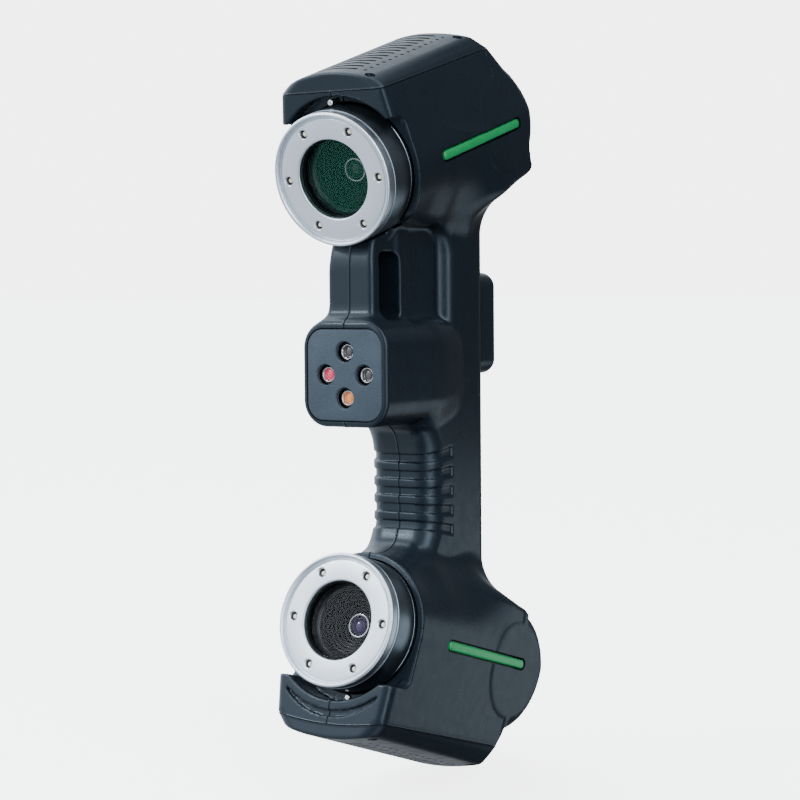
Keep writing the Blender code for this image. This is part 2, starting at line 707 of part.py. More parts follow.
def build_barrel(head):
    """The dark sleeve between ring and housing, with a shoulder inside for the window."""
    start = RING_THICKNESS + GAP
    inner = GLASS_RADIUS - 1.4 * MM
    profile = [(BARREL_BORE, start), (BARREL_RADIUS, start), (BARREL_RADIUS, BARREL_END - GAP),
               (SLEEVE_BORE, BARREL_END - GAP), (SLEEVE_BORE, GLASS_BACK + SHOULDER),
               (inner, GLASS_BACK + SHOULDER), (inner, GLASS_BACK + GAP),
               (BARREL_BORE, GLASS_BACK + GAP)]
    finish(smooth(turned(profile, head.matrix, 36)), head.name + "_lens_barrel", "dark_metal")


def build_window(head):
    """The flat window in front of the camera lens, and the seal round its edge."""
    window = cylinder(GLASS_RADIUS, GLASS_FRONT, GLASS_BACK, head.matrix, 36)
    finish(smooth(window), head.name + "_window_glass", "glass")
    seal = tube(SEAL_RADIUS, GLASS_RADIUS + GAP, GLASS_FRONT, GLASS_BACK, head.matrix, 36)
    finish(smooth(seal), head.name + "_window_seal", "rubber")


def build_camera(head):
    """The camera's lens, its front glass and the square body behind it."""
    profile = [(8.0 * MM, 9.6 * MM), (12.6 * MM, 9.0 * MM), (LENS_RADIUS, 11.0 * MM),
               (LENS_RADIUS, 17.0 * MM), (LENS_RADIUS - 0.8 * MM, 17.6 * MM),
               (LENS_RADIUS - 0.8 * MM, 20.0 * MM), (LENS_RADIUS, 20.6 * MM),
               (LENS_RADIUS, CAMERA_FRONT - GAP), (LENS_BORE, CAMERA_FRONT - GAP),
               (LENS_BORE, 14.0 * MM)]
    finish(smooth(turned(profile, head.matrix)), head.name + "_camera_lens", "black_metal")
    dome = [(0.0, 12.2 * MM), (2.6 * MM, 12.5 * MM), (4.4 * MM, 13.2 * MM), (5.3 * MM, 14.2 * MM),
            (5.3 * MM, 16.0 * MM), (0.0, 16.0 * MM)]
    glass = turned(dome, head.matrix, 16)
    finish(smooth(glass), head.name + "_camera_lens_glass", "glass")
    body = box((-CAMERA_HALF, CAMERA_FRONT, -CAMERA_HALF), (CAMERA_HALF, CAMERA_BACK, CAMERA_HALF),
               head.matrix, 0.8 * MM)
    finish(body, head.name + "_camera_body", "aluminium")


FIN_COUNT = 9
FIN_PITCH = 4.0 * MM
FIN_THICKNESS = 1.0 * MM
FIN_HEIGHT = 7.5 * MM
SINK_FRONT = 24.0 * MM
SINK_BACK = 76.0 * MM


def build_heat_sink(head):
    """A finned plate under the vented cover."""
    base = head.seam[0] - FIN_HEIGHT - 1 * MM
    first = -FIN_PITCH * (FIN_COUNT - 1) / 2
    half = FIN_THICKNESS - first
    sink = box((-half, SINK_FRONT, base), (half, SINK_BACK, base + 2 * MM), head.matrix)
    for i in range(FIN_COUNT):
        u = first + FIN_PITCH * i
        fin = box((u - FIN_THICKNESS / 2, SINK_FRONT + 1 * MM, base + 1 * MM),
                  (u + FIN_THICKNESS / 2, SINK_BACK - 1 * MM, base + FIN_HEIGHT), head.matrix)
        sink = combine(sink, fin, "UNION")
    finish(sink, head.name + "_heat_sink", "aluminium")


def build_light_bars(head):
    """A translucent bar and its board on each side of a head."""
    for side in (1, -1):
        world_side = "left" if side * head.sign > 0 else "right"
        label = head.name + "_" + world_side
        frame = plane_frame(head, side * 28.65 * MM)
        start, height = head.bar
        outline = stadium(start + 0.6 * MM, start + BAR_POCKET, height, 2.1 * MM)
        bar = outline_solid(outline, 1.45 * MM, frame)
        finish(smooth(bar), label + "_light_bar", "green_light")
        inner, outer = sorted((side * 25.4 * MM, side * 26.4 * MM))
        board = box((inner, start + 3 * MM, height - 3 * MM),
                    (outer, start + BAR_POCKET - 3 * MM, height + 3 * MM), head.matrix)
        finish(board, label + "_light_board", "board")


def screw(place, head_radius, head_top, head_bottom, shank_radius, shank_bottom):
    """A screw along local Y, its head outward, with a cross-cut square recess."""
    shank = cylinder(shank_radius, shank_bottom, head_bottom + 0.2 * MM, place, 6)
    body = combine(cylinder(head_radius, head_bottom, head_top, place, 12), shank, "UNION")
    half = head_radius * 0.42
    recess = box((-half, head_top - 0.6 * MM, -half), (half, head_top + 1 * MM, half), place)
    return smooth(combine(body, recess, "DIFFERENCE"))


def build_screws():
    """Cover, visor and housing screws, each a node of its own."""
    corners = ("front_a", "front_b", "rear_a", "rear_b")
    for head in HEADS:
        for place, corner in zip(cover_screw_places(head), corners):
            made = screw(place, 1.8 * MM, -0.7 * MM, -2.2 * MM, 1.1 * MM, -6.5 * MM)
            finish(made, head.name + "_cover_screw_" + corner, "black_metal")
        turn = Matrix(((1, 0, 0), (0, -1, 0), (0, 0, -1))).to_4x4()
        spot = Matrix.Translation((0, head.pin, VISOR_SCREW_W)) @ turn
        made = screw(head.matrix @ spot, 1.6 * MM, 1.6 * MM, GAP, 1.1 * MM, -5 * MM)
        finish(made, head.name + "_visor_screw", "steel")
    labels = ("grip_low", "grip_high", "top_head", "bottom_head")
    for (frame, half), label in zip(boss_places(), labels):
        turn = Matrix(((1, 0, 0), (0, -1, 0), (0, 0, -1))).to_4x4()
        made = screw(frame @ turn, SCREW_HEAD, half + 0.6 * MM, half - 0.2 * MM,
                     1.1 * MM, -half + 8 * MM)
        finish(made, "housing_screw_" + label, "black_metal")


# ---------------------------------------------------------------- laser block
MOUNT_FRONT = -57.2 * MM
MOUNT_BACK = -33.0 * MM
MOUNT_HALF = 13.7 * MM
MODULE_FRONT = -58.6 * MM
MODULE_BACK = -30.0 * MM


def laser_places():
    """Names and frames of the four lasers, whose local Y runs back along world +Y."""
    spots = {"upper": (0, 1), "lower": (0, -1), "left": (1, 0), "right": (-1, 0)}
    return {name: Matrix.Translation((x * LASER_CIRCLE, 0, BLOCK_HEIGHT + z * LASER_CIRCLE))
            for name, (x, z) in spots.items()}


def build_lasers():
    """Front plate, the block behind it and the four laser barrels."""
    half_x = BLOCK_HALF_WIDTH - PLATE_MARGIN
    half_z = BLOCK_HALF_HEIGHT - PLATE_MARGIN
    outline = rounded_rectangle(-half_x, half_x, -half_z, half_z, 7.1 * MM, 6)
    middle = BLOCK_FRONT + PLATE_THICKNESS / 2
    face = Matrix.Translation((0, middle, BLOCK_HEIGHT)) @ Matrix.Rotation(math.pi / 2, 4, "X")
    plate = outline_solid(outline, PLATE_THICKNESS / 2, face)
    mount = box((-MOUNT_HALF, MOUNT_FRONT, BLOCK_HEIGHT - MOUNT_HALF),
                (MOUNT_HALF, MOUNT_BACK, BLOCK_HEIGHT + MOUNT_HALF))
    for name, place in laser_places().items():
        plate = combine(plate, cylinder(LASER_HOLE, -80 * MM, -50 * MM, place, 16), "DIFFERENCE")
        bore = cylinder(MODULE_RADIUS + GAP, -80 * MM, -10 * MM, place, 16)
        mount = combine(mount, bore, "DIFFERENCE")
        profile = [(2.6 * MM, MODULE_FRONT), (MODULE_RADIUS - 0.3 * MM, MODULE_FRONT),
                   (MODULE_RADIUS, MODULE_FRONT + 0.3 * MM), (MODULE_RADIUS, MODULE_BACK),
                   (0, MODULE_BACK), (0, MODULE_FRONT + 1.4 * MM), (1.9 * MM, MODULE_FRONT + 1.2 * MM)]
        finish(smooth(turned(profile, place, 16)), "laser_module_" + name, "steel")
    finish(smooth(plate), "laser_front_plate", "plate")
    finish(mount, "laser_mount", "aluminium")


# ---------------------------------------------------------------- inside the grip
def build_frame():
    """The rigid spine that keeps both cameras and the laser block in line."""
    low = LENS_MID_HEIGHT - 83 * MM
    high = LENS_MID_HEIGHT + 83 * MM
    spine = box((-8 * MM, -11 * MM, low), (8 * MM, -3 * MM, high))
    tab = box((-8 * MM, MOUNT_BACK + GAP, BLOCK_HEIGHT - 8 * MM),
              (8 * MM, -10 * MM, BLOCK_HEIGHT + 8 * MM))
    for place in laser_places().values():
        tab = combine(tab, cylinder(MODULE_RADIUS + GAP, -40 * MM, -28 * MM, place, 12), "DIFFERENCE")
    spine = combine(spine, tab, "UNION")
    for head in HEADS:
        arm = box((-8 * MM, PLATE_FRONT + 1 * MM, -22.5 * MM), (8 * MM, 70 * MM, -16.5 * MM), head.matrix)
        plate = tube(23.0 * MM, LENS_RADIUS + GAP, PLATE_FRONT, PLATE_BACK, head.matrix)
        spine = combine(spine, arm, "UNION")
        spine = combine(spine, plate, "UNION")
    finish(smooth(spine), "optical_frame", "aluminium")


def build_main_board():
    """The main circuit board behind the spine, with its larger chips."""
    front, back = 3.0 * MM, 4.6 * MM
    board = box((-11 * MM, front, -14 * MM), (11 * MM, back, 92 * MM))
    chips = ((0, 8, 6), (-4, 30, 4), (3, 44, 5), (0, 62, 4.5), (-2, 80, 3.5))
    for x, z, half in chips:
        chip = box(((x - half) * MM, back - 0.5 * MM, (z - half) * MM),
                   ((x + half) * MM, back + 1.4 * MM, (z + half) * MM))
        board = combine(board, chip, "UNION")
    finish(board, "main_board", "board")


# ---------------------------------------------------------------- keypad on the back of the grip
KEYPAD_WALL = 2.0 * MM
KEYPAD_CORNER = 6.0 * MM
BUTTON_FLANGE = 1.0 * MM            # width and thickness of the flange that keeps a button in
MAT_BACK = KEYPAD_BACK - 5.2 * MM
MAT_THICKNESS = 1.5 * MM
BUTTONS = {"scan_button": (66.5 * MM, 6.4 * MM), "plus_button": (79.4 * MM, 3.9 * MM),
           "minus_button": (53.6 * MM, 3.9 * MM)}


def button_place(height):
    """A frame on the keypad whose local Y points out of the back."""
    return Matrix.Translation((0, 0, height))


def build_keypad():
    """Bezel, three buttons, rubber mat and board."""
    outline = rounded_rectangle(-KEYPAD_HALF_WIDTH, KEYPAD_HALF_WIDTH, -KEYPAD_HIGH, -KEYPAD_LOW,
                                KEYPAD_CORNER, 4)
    start = HANDLE_HALF_DEPTH + GAP
    flat = Matrix.Rotation(-math.pi / 2, 4, "X")
    place = Matrix.Translation((0, (start + KEYPAD_BACK) / 2, 0)) @ flat
    bezel = outline_solid(outline, (KEYPAD_BACK - start) / 2, place)
    rim = bezel.modifiers.new("rim", "BEVEL")
    rim.width = 1.2 * MM
    rim.segments = 2
    rim.limit_method = "ANGLE"
    rim.angle_limit = math.radians(60)
    bezel = bake(bezel)
    inner = rounded_rectangle(KEYPAD_WALL - KEYPAD_HALF_WIDTH, KEYPAD_HALF_WIDTH - KEYPAD_WALL,
                              KEYPAD_WALL - KEYPAD_HIGH, -KEYPAD_LOW - KEYPAD_WALL, 4 * MM, 3)
    depth = KEYPAD_BACK - KEYPAD_WALL
    place = Matrix.Translation((0, depth / 2, 0)) @ flat
    bezel = combine(bezel, outline_solid(inner, depth / 2, place), "DIFFERENCE")
    for name, (height, radius) in BUTTONS.items():
        hole = cylinder(radius + GAP, 20 * MM, 40 * MM, button_place(height))
        bezel = combine(bezel, hole, "DIFFERENCE")
        flange = depth - GAP
        back = KEYPAD_BACK + BUTTON_TRAVEL
        profile = [(0, flange - BUTTON_FLANGE), (radius + BUTTON_FLANGE, flange - BUTTON_FLANGE),
                   (radius + BUTTON_FLANGE, flange), (radius, flange), (radius, back - 0.5 * MM),
                   (radius - 0.5 * MM, back), (0, back + 0.1 * MM)]
        cap = turned(profile, button_place(height))
        finish(smooth(cap), name, "button")
    finish(smooth(bezel), "keypad_bezel", "housing")
    half = KEYPAD_HALF_WIDTH - KEYPAD_WALL - 1.3 * MM
    top, low = KEYPAD_HIGH - 4.0 * MM, KEYPAD_LOW + 4.0 * MM
    mat_front = MAT_BACK - MAT_THICKNESS
    mat = box((-half, mat_front, low), (half, MAT_BACK, top))
    finish(mat, "keypad_mat", "rubber")
    board_back = mat_front - GAP
    board = box((-half, board_back - BOARD_THICKNESS, low), (half, board_back, top))
    finish(board, "keypad_board", "board")


def build_socket():
    """The round cable inlet in the lower bulb, hollow, with contact pins on its floor."""
    place = BOTTOM.matrix @ Matrix.Translation((0, 0, BOTTOM.bulb[1]))
    back = BOTTOM.bulb[0] + BOTTOM.bulb[2] - SOCKET_INSET
    seat = back - SOCKET_FLANGE_THICKNESS
    end, floor = back - SOCKET_LENGTH, back - SOCKET_DEPTH
    profile = [(0, end), (SOCKET_BODY, end), (SOCKET_BODY, seat), (SOCKET_FLANGE, seat),
               (SOCKET_FLANGE, back), (SOCKET_BORE, back), (SOCKET_BORE, floor), (0, floor)]
    socket = turned(profile, place)
    for i in range(PIN_COUNT):
        angle = 2 * math.pi * i / PIN_COUNT
        spot = Matrix.Translation((PIN_CIRCLE * math.cos(angle), 0, PIN_CIRCLE * math.sin(angle)))
        pin = cylinder(0.6 * MM, floor - 1 * MM, floor + 5 * MM, place @ spot, 6)
        socket = combine(socket, pin, "UNION")
    finish(smooth(socket), "cable_socket", "steel")


build_shells()
for camera_head in HEADS:
    build_ring(camera_head)
    build_led_board(camera_head)
    build_barrel(camera_head)
    build_window(camera_head)
    build_camera(camera_head)
    build_heat_sink(camera_head)
    build_light_bars(camera_head)
build_screws()
build_lasers()
build_frame()
build_main_board()
build_keypad()
build_socket()
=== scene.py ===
"""The looks of the handheld scanner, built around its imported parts.

Shapes are worked out in millimetres in the row frame and brought to metres when a piece is finished.
The front of the scanner faces -Y and +Z is up. A head has its own frame: u across, v back along the
lens axis, w outward, with its origin in the middle of the ring's face.
"""

import math

import bmesh
import bpy
import numpy as np
import openvdb
from mathutils import Matrix, Vector


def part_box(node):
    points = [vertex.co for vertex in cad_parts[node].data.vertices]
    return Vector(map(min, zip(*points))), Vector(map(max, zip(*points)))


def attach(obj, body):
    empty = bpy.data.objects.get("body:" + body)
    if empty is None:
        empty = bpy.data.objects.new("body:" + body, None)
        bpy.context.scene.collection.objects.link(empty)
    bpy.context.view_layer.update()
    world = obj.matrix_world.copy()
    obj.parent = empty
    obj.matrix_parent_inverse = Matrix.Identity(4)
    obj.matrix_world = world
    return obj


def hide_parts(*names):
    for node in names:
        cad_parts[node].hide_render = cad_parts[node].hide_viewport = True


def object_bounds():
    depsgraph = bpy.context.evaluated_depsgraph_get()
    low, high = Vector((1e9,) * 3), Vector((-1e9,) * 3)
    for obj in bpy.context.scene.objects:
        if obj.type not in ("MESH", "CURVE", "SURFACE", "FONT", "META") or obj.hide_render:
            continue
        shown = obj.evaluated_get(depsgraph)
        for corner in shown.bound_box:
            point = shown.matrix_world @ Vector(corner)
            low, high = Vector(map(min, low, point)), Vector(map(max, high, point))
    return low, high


MM = 0.001
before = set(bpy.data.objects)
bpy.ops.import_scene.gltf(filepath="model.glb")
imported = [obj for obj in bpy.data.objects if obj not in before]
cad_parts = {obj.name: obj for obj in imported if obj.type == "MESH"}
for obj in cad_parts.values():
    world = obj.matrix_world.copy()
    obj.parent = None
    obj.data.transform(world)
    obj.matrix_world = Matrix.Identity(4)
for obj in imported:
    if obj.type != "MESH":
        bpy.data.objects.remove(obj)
CAD_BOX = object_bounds()
BODY = "scanner"

# ---------------------------------------------------------------- driving dimensions, millimetres
VOXEL = 0.62
WALL = 2.5
HEAD_TILT = math.radians(16.0)
RING_MIDDLE = 0.45                  # the ring's box is centred this far behind its face
COLLAR_RADIUS = 30.0
COLLAR_FACE = 16.0
ARCH_RADIUS = 30.6
VISOR_LOW = 21.5
BARREL_RADIUS = 26.4
BARREL_END = 24.0
RING_RADIUS = 26.3
RING_OPENING = 15.5
LED_CIRCLE = 20.7
LED_COUNT = 6
HANDLE_HALF_WIDTH = 16.25
HANDLE_HALF_DEPTH = 22.35
HANDLE_CORNER = 9.5
GRIP_MIDDLE = 38.0                  # height of the grip's middle, which the camera turns about
GRIP_REACH = 92.0
SLOT_COUNT = 14
SLOT_WIDTH = 1.7
SLOT_HALF_LENGTH = 9.3
VENT_DOT = 12.6
SEAM_GAP = 0.14                     # half the width of the fine line between two mouldings
LASER_CIRCLE = 9.0
PLATE_MARGIN = 0.75                 # room round the laser plate in its pocket
BAR_POCKET = 58.4
BULB_EDGE = 8.5                     # rounding of the edges of the round backs
BODY_EDGE = 1.0                     # rounding of the moulded edges of a head
PIN_HEIGHT = 28.4                   # height of the visor screws above the lens axis
SOCKET_PLACE = (119.9, 4.4)         # depth and height of the cable socket in the lower head's frame
GROOVE_COUNT = 5
GROOVE_TOP = 12.7
GROOVE_PITCH = 6.75
STRUT_MIDDLE = 86.0
STRUT_REACH = 26.0
NECK_FILLETS = (17.0, 15.5)         # where the grip flows into the top and the bottom head
SEAM_LOOPS = (-0.6, -0.3, -SEAM_GAP, SEAM_GAP, 0.3, 0.6)


def box_mm(node):
    """A CAD node's box in millimetres."""
    low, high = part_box(node)
    return low / MM, high / MM


def face_of(node):
    """Half width, half height and middle height of a CAD node seen from the front, in millimetres."""
    low, high = box_mm(node)
    return (high.x - low.x) / 2, (high.z - low.z) / 2, (low.z + high.z) / 2


class Head:
    """One camera head. Depths, heights and radii are in its own frame."""

    def __init__(self, name, sign, visor, roof, crown, edge, seam, bulb, bar, slots, screws, pin):
        self.name = name
        self.sign = sign
        self.visor = visor
        self.roof = roof                # depths where the roof starts to drop and stops dropping
        self.crown = crown              # roof height on the middle, at the visor and at the drop
        self.edge = edge                # half width of the roof, and its drop below the crown
        self.seam = seam                # height and half width of the cover's seam, and its sag
        self.bulb = bulb                # centre v, centre w and radius of the round back
        self.bar = bar                  # start and height of the light bars
        self.slots = slots
        self.screws = screws
        self.pin = pin
        self.across = Vector((sign, 0, 0))
        self.back = Vector((0, math.cos(HEAD_TILT), sign * math.sin(HEAD_TILT)))
        self.outward = Vector((0, -math.sin(HEAD_TILT), sign * math.cos(HEAD_TILT)))
        low, high = box_mm(name + "_led_ring")
        self.centre = (low + high) / 2 - self.back * RING_MIDDLE
        self.matrix = Matrix((self.across, self.back, self.outward)).transposed().to_4x4()
        self.matrix.translation = self.centre
        self.slope = (crown[1] - crown[0]) / (roof[0] - visor)

    def local(self, x, y, z):
        """Row-frame coordinates in the head's frame."""
        dy, dz = y - self.centre.y, z - self.centre.z
        return (x * self.across.x, dy * self.back.y + dz * self.back.z,
                dy * self.outward.y + dz * self.outward.z)

    def roof_height(self, u, v):
        """Height of the crowned roof."""
        half, drop = self.edge
        return self.crown[0] + self.slope * (v - self.visor) - drop * (u / half) ** 2


TOP = Head("top", 1, 8.0, (81.0, 94.0), (39.8, 41.8), (19.8, 3.5), (32.5, 24.4, 0.0),
           (86.9, 1.5, 25.8), (36.6, -0.4), (15.5, 75.0), (11.5, 79.0, 17.0), 7.6)
BOTTOM = Head("bottom", -1, 3.3, (88.0, 100.5), (45.4, 48.8), (21.5, 3.0), (37.5, 25.6, 2.6),
              (94.7, 5.4, 26.5), (39.4, 2.4), (17.0, 82.0), (9.0, 86.0, 18.4), 16.0)
HEADS = (TOP, BOTTOM)


# ---------------------------------------------------------------- implicit outer form
# Half sizes and corner radii of the parts of the grip, seen along the axis that each one runs in.
BLOCK_HALF_WIDTH, BLOCK_HALF_HEIGHT, BLOCK_RAISE, BLOCK_CORNER = 19.8, 20.7, 0.3, 10.5
BLOCK_TAPER = 28.0                  # length over which the block narrows into the grip
STRUT_FRONT, STRUT_REAR, STRUT_HALF_WIDTH = -57.2, -34.0, 10.7
WEB_FRONT, WEB_REAR, WEB_HALF_WIDTH = -39.4, -12.0, 11.0
WINDOW_MIDDLE, WINDOW_HALF, WINDOW_CORNER = (-45.5, 82.3), (6.3, 13.2), 3.6
PANEL_MIDDLE, PANEL_HALF, PANEL_CORNER, PANEL_FLOOR = (-39.0, 73.0), (30.0, 33.0), 12.0, 68.3


def round_cut(a, b, radius):
    """Intersection of two fields with a rounded edge."""
    corner = np.hypot(np.maximum(radius + a, 0), np.maximum(radius + b, 0))
    return np.minimum(-radius, np.maximum(a, b)) + corner


def round_join(a, b, radius):
    """Union of two fields with a filleted inner corner."""
    corner = np.hypot(np.maximum(radius - a, 0), np.maximum(radius - b, 0))
    return np.maximum(radius, np.minimum(a, b)) - corner


def flat_box(a, b, radius):
    """Two-dimensional rounded box from the distances past its flat sides."""
    a, b = a + radius, b + radius
    return np.hypot(np.maximum(a, 0), np.maximum(b, 0)) + np.minimum(np.maximum(a, b), 0) - radius


def smooth(t):
    """Ease a share between 0 and 1 in and out."""
    return t * t * (3 - 2 * t)


def line_field(p, q, a0, b0, a1, b1):
    """Signed distance to the left-hand side of the line from (a0, b0) to (a1, b1)."""
    length = math.hypot(a1 - a0, b1 - b0)
    return ((p - a0) * (b1 - b0) - (q - b0) * (a1 - a0)) / length


def rear_line_end(head):
    """Where the rear slope of the roof meets the round back: the top head's slope touches it smoothly."""
    bulb_v, bulb_w, bulb_r = head.bulb
    if head is BOTTOM:
        return head.roof[1], bulb_w + math.sqrt(bulb_r ** 2 - (head.roof[1] - bulb_v) ** 2)
    reach_v, reach_w = head.roof[0] - bulb_v, head.crown[1] - bulb_w
    angle = math.atan2(reach_w, reach_v) - math.acos(bulb_r / math.hypot(reach_v, reach_w))
    return bulb_v + bulb_r * math.cos(angle), bulb_w + bulb_r * math.sin(angle)


def head_field(head, x, y, z):
    """A head: tapered section, visor, arched mouth and round back."""
    u, v, w = head.local(x, y, z)
    u = np.abs(u)
    seam_w, seam_half, _ = head.seam
    bulb_v, bulb_w, bulb_r = head.bulb
    lean = math.atan2(seam_w, seam_half) - math.acos(COLLAR_RADIUS / math.hypot(seam_half, seam_w))
    drum = np.hypot(u, w)
    wall = u * math.cos(lean) + w * math.sin(lean)
    side = np.where(w > u * math.tan(lean), wall, drum) - COLLAR_RADIUS
    round_side = np.maximum(u, wall) - COLLAR_RADIUS
    blend = np.clip((v - 45.0) / (bulb_v - 50.0), 0, 1)
    side = side + (round_side - side) * smooth(blend)
    half, drop = head.edge
    edge_w = head.crown[0] + head.slope * (v - head.visor) - drop
    chamfer = (u - seam_half) * (edge_w - seam_w) - (w - seam_w) * (half - seam_half)
    chamfer = chamfer / np.hypot(edge_w - seam_w, half - seam_half)
    roof = (w - head.roof_height(u, v)) * 0.97
    section = round_cut(side, chamfer, 1.2)
    body = round_cut(section, head.visor - v, 3.6 if head is TOP else 4.8)
    end_v, end_w = rear_line_end(head)
    drop_line = line_field(v, w, end_v, end_w, head.roof[0], head.crown[1])
    disc = np.hypot(v - bulb_v, w - bulb_w) - bulb_r
    back = np.clip((v - head.roof[0]) / (end_v - head.roof[0]), 0, 1)
    softness = BODY_EDGE + (BULB_EDGE - BODY_EDGE) * smooth(back)
    body = round_cut(round_cut(body, roof, BODY_EDGE), drop_line, softness)
    body = np.maximum(body, v - end_v + 2.0)
    bulb = flat_box(disc, round_side, BULB_EDGE)
    body = np.maximum(round_join(body, bulb, 1.0), round_side)
    body = np.where(v < bulb_v, np.minimum(round_cut(body, side, 1.5), bulb), body)
    under = line_field(v, w, 38.0, -COLLAR_RADIUS, bulb_v, bulb_w - bulb_r - 0.5)
    body = round_cut(body, under, 4.0)
    notch = round_cut(w - VISOR_LOW + head.sign, v - COLLAR_FACE, 4.0)
    arch = np.maximum(drum - ARCH_RADIUS, v - COLLAR_FACE)
    body = round_cut(body, -np.minimum(notch, arch), 0.8)
    if head is TOP:
        post = np.maximum(np.hypot(u, w - PIN_HEIGHT) - 2.3, np.maximum(head.pin - v, v - 18))
        body = round_join(body, post, 0.5)
    else:
        smile = np.maximum(34.4 - drum, np.hypot(u, w - 7.3) - 29.7)
        smile = np.maximum(smile, np.maximum(u - 21.2, v - head.visor - 1.3))
        body = round_cut(body, -smile, 0.4)
    return body


def grip_field(x, y, z):
    """The upright grip, a rounded rectangle in plan that swells forward at both ends.

    The second value is the grip without its end faces.
    """
    low, high = np.clip((-11.0 - z) / 14.0, 0, 1.3), np.clip((z - 14.0) / 12.0, 0, 1.0)
    front = HANDLE_HALF_DEPTH + 0.55 + 6.0 * low * low + 5.0 * high * high
    grip = flat_box(np.abs(x) - HANDLE_HALF_WIDTH, np.maximum(-y - front, y - HANDLE_HALF_DEPTH - 0.25),
                    HANDLE_CORNER)
    ends = np.abs(z - GRIP_MIDDLE) - GRIP_REACH
    return np.maximum(grip, ends), grip


def grooves_field(x, y, z, grip):
    """Shallow bands that fan out towards the back of the grip."""
    reach = y + HANDLE_HALF_DEPTH
    half = 1.6 + 0.02 * reach
    bands = np.inf
    for i in range(GROOVE_COUNT):
        middle = GROOVE_TOP - GROOVE_PITCH * i + (0.15 - 0.083 * i) * reach
        bands = np.minimum(bands, np.abs(z - middle) - half)
    return np.maximum(np.maximum(bands, y + 7.5), -(grip + 0.85))


def block_field(x, y, z):
    """The laser block, narrowing into the grip."""
    low, high = box_mm("laser_front_plate")
    middle = (low.z + high.z) / 2 + BLOCK_RAISE
    narrow = np.clip((y + BLOCK_TAPER) / BLOCK_TAPER, 0, 1)
    narrow = 5.0 * narrow * narrow
    prism = flat_box(np.abs(x) - BLOCK_HALF_WIDTH + narrow,
                     np.abs(z - middle) - BLOCK_HALF_HEIGHT + narrow * 0.8, BLOCK_CORNER)
    return round_cut(prism, np.maximum(low.y - y, y + 2.0), 1.8)


def strut_field(x, y, z):
    """Strut and web between the block and the top head."""
    waist = np.clip((z - 88.0) / 14.0, 0, 1)
    foot = np.clip((76.0 - z) / 8.0, 0, 1)
    front = STRUT_FRONT + 3.0 * waist * waist - 1.6 * foot * foot
    half = STRUT_HALF_WIDTH - 0.9 * waist + 1.2 * foot * foot
    strut = flat_box(np.abs(x) - half, np.maximum(front - y, y - STRUT_REAR), 2.4)
    web = flat_box(np.abs(x) - WEB_HALF_WIDTH, np.maximum(WEB_FRONT - y, y - WEB_REAR), 1.1)
    ends = np.abs(z - STRUT_MIDDLE) - STRUT_REACH
    return np.maximum(strut, ends), np.maximum(web, ends)


def window_field(x, y, z):
    """The finger window between strut and web."""
    return flat_box(np.abs(y - WINDOW_MIDDLE[0]) - WINDOW_HALF[0],
                    np.abs(z - WINDOW_MIDDLE[1]) - WINDOW_HALF[1], WINDOW_CORNER)


def panel_field(x, y, z):
    """The flat recess in each side of the web, rounded at the top and soft at the back."""
    outline = flat_box(np.abs(y - PANEL_MIDDLE[0]) - PANEL_HALF[0],
                       np.abs(z - PANEL_MIDDLE[1]) - PANEL_HALF[1], PANEL_CORNER)
    outline = np.maximum(outline, PANEL_FLOOR - z)
    return round_cut(outline, WEB_HALF_WIDTH - np.abs(x), 3.0)


def outer_field(x, y, z):
    """The whole moulded outside, negative inside."""
    body, grip = grip_field(x, y, z)
    for head, fillet in zip(HEADS, NECK_FILLETS):
        body = round_join(body, head_field(head, x, y, z), fillet)
    for head in HEADS:
        u, v, w = head.local(x, y, z)
        mouth = np.maximum(np.hypot(u, w) - ARCH_RADIUS, v - COLLAR_FACE)
        body = np.where(v < COLLAR_FACE + 3, np.maximum(body, -mouth), body)
    strut, web = strut_field(x, y, z)
    body = round_cut(body, -panel_field(x, y, z), 5.0)
    body = round_join(body, block_field(x, y, z), 5.0)
    body = round_join(body, web, 1.5)
    body = round_join(body, strut, 4.0)
    for head in HEADS:
        u, v, w = head.local(x, y, z)
        mouth = np.maximum(np.hypot(u, w) - BARREL_RADIUS - 0.7, v - COLLAR_FACE)
        body = np.maximum(body, -mouth)
    body = round_cut(body, -window_field(x, y, z), 1.0)
    return round_cut(body, -grooves_field(x, y, z, grip), 0.7)


FIELD_BATCH = 400000
FIELD_MARGIN = 3.0                  # how far the grid reaches past the box, and the field's highest value


def field_values(points):
    """The outer field at an array of points, in blocks."""
    values = np.empty(len(points), np.float32)
    for start in range(0, len(points), FIELD_BATCH):
        part = points[start:start + FIELD_BATCH]
        values[start:start + FIELD_BATCH] = outer_field(part[:, 0], part[:, 1], part[:, 2])
    return values


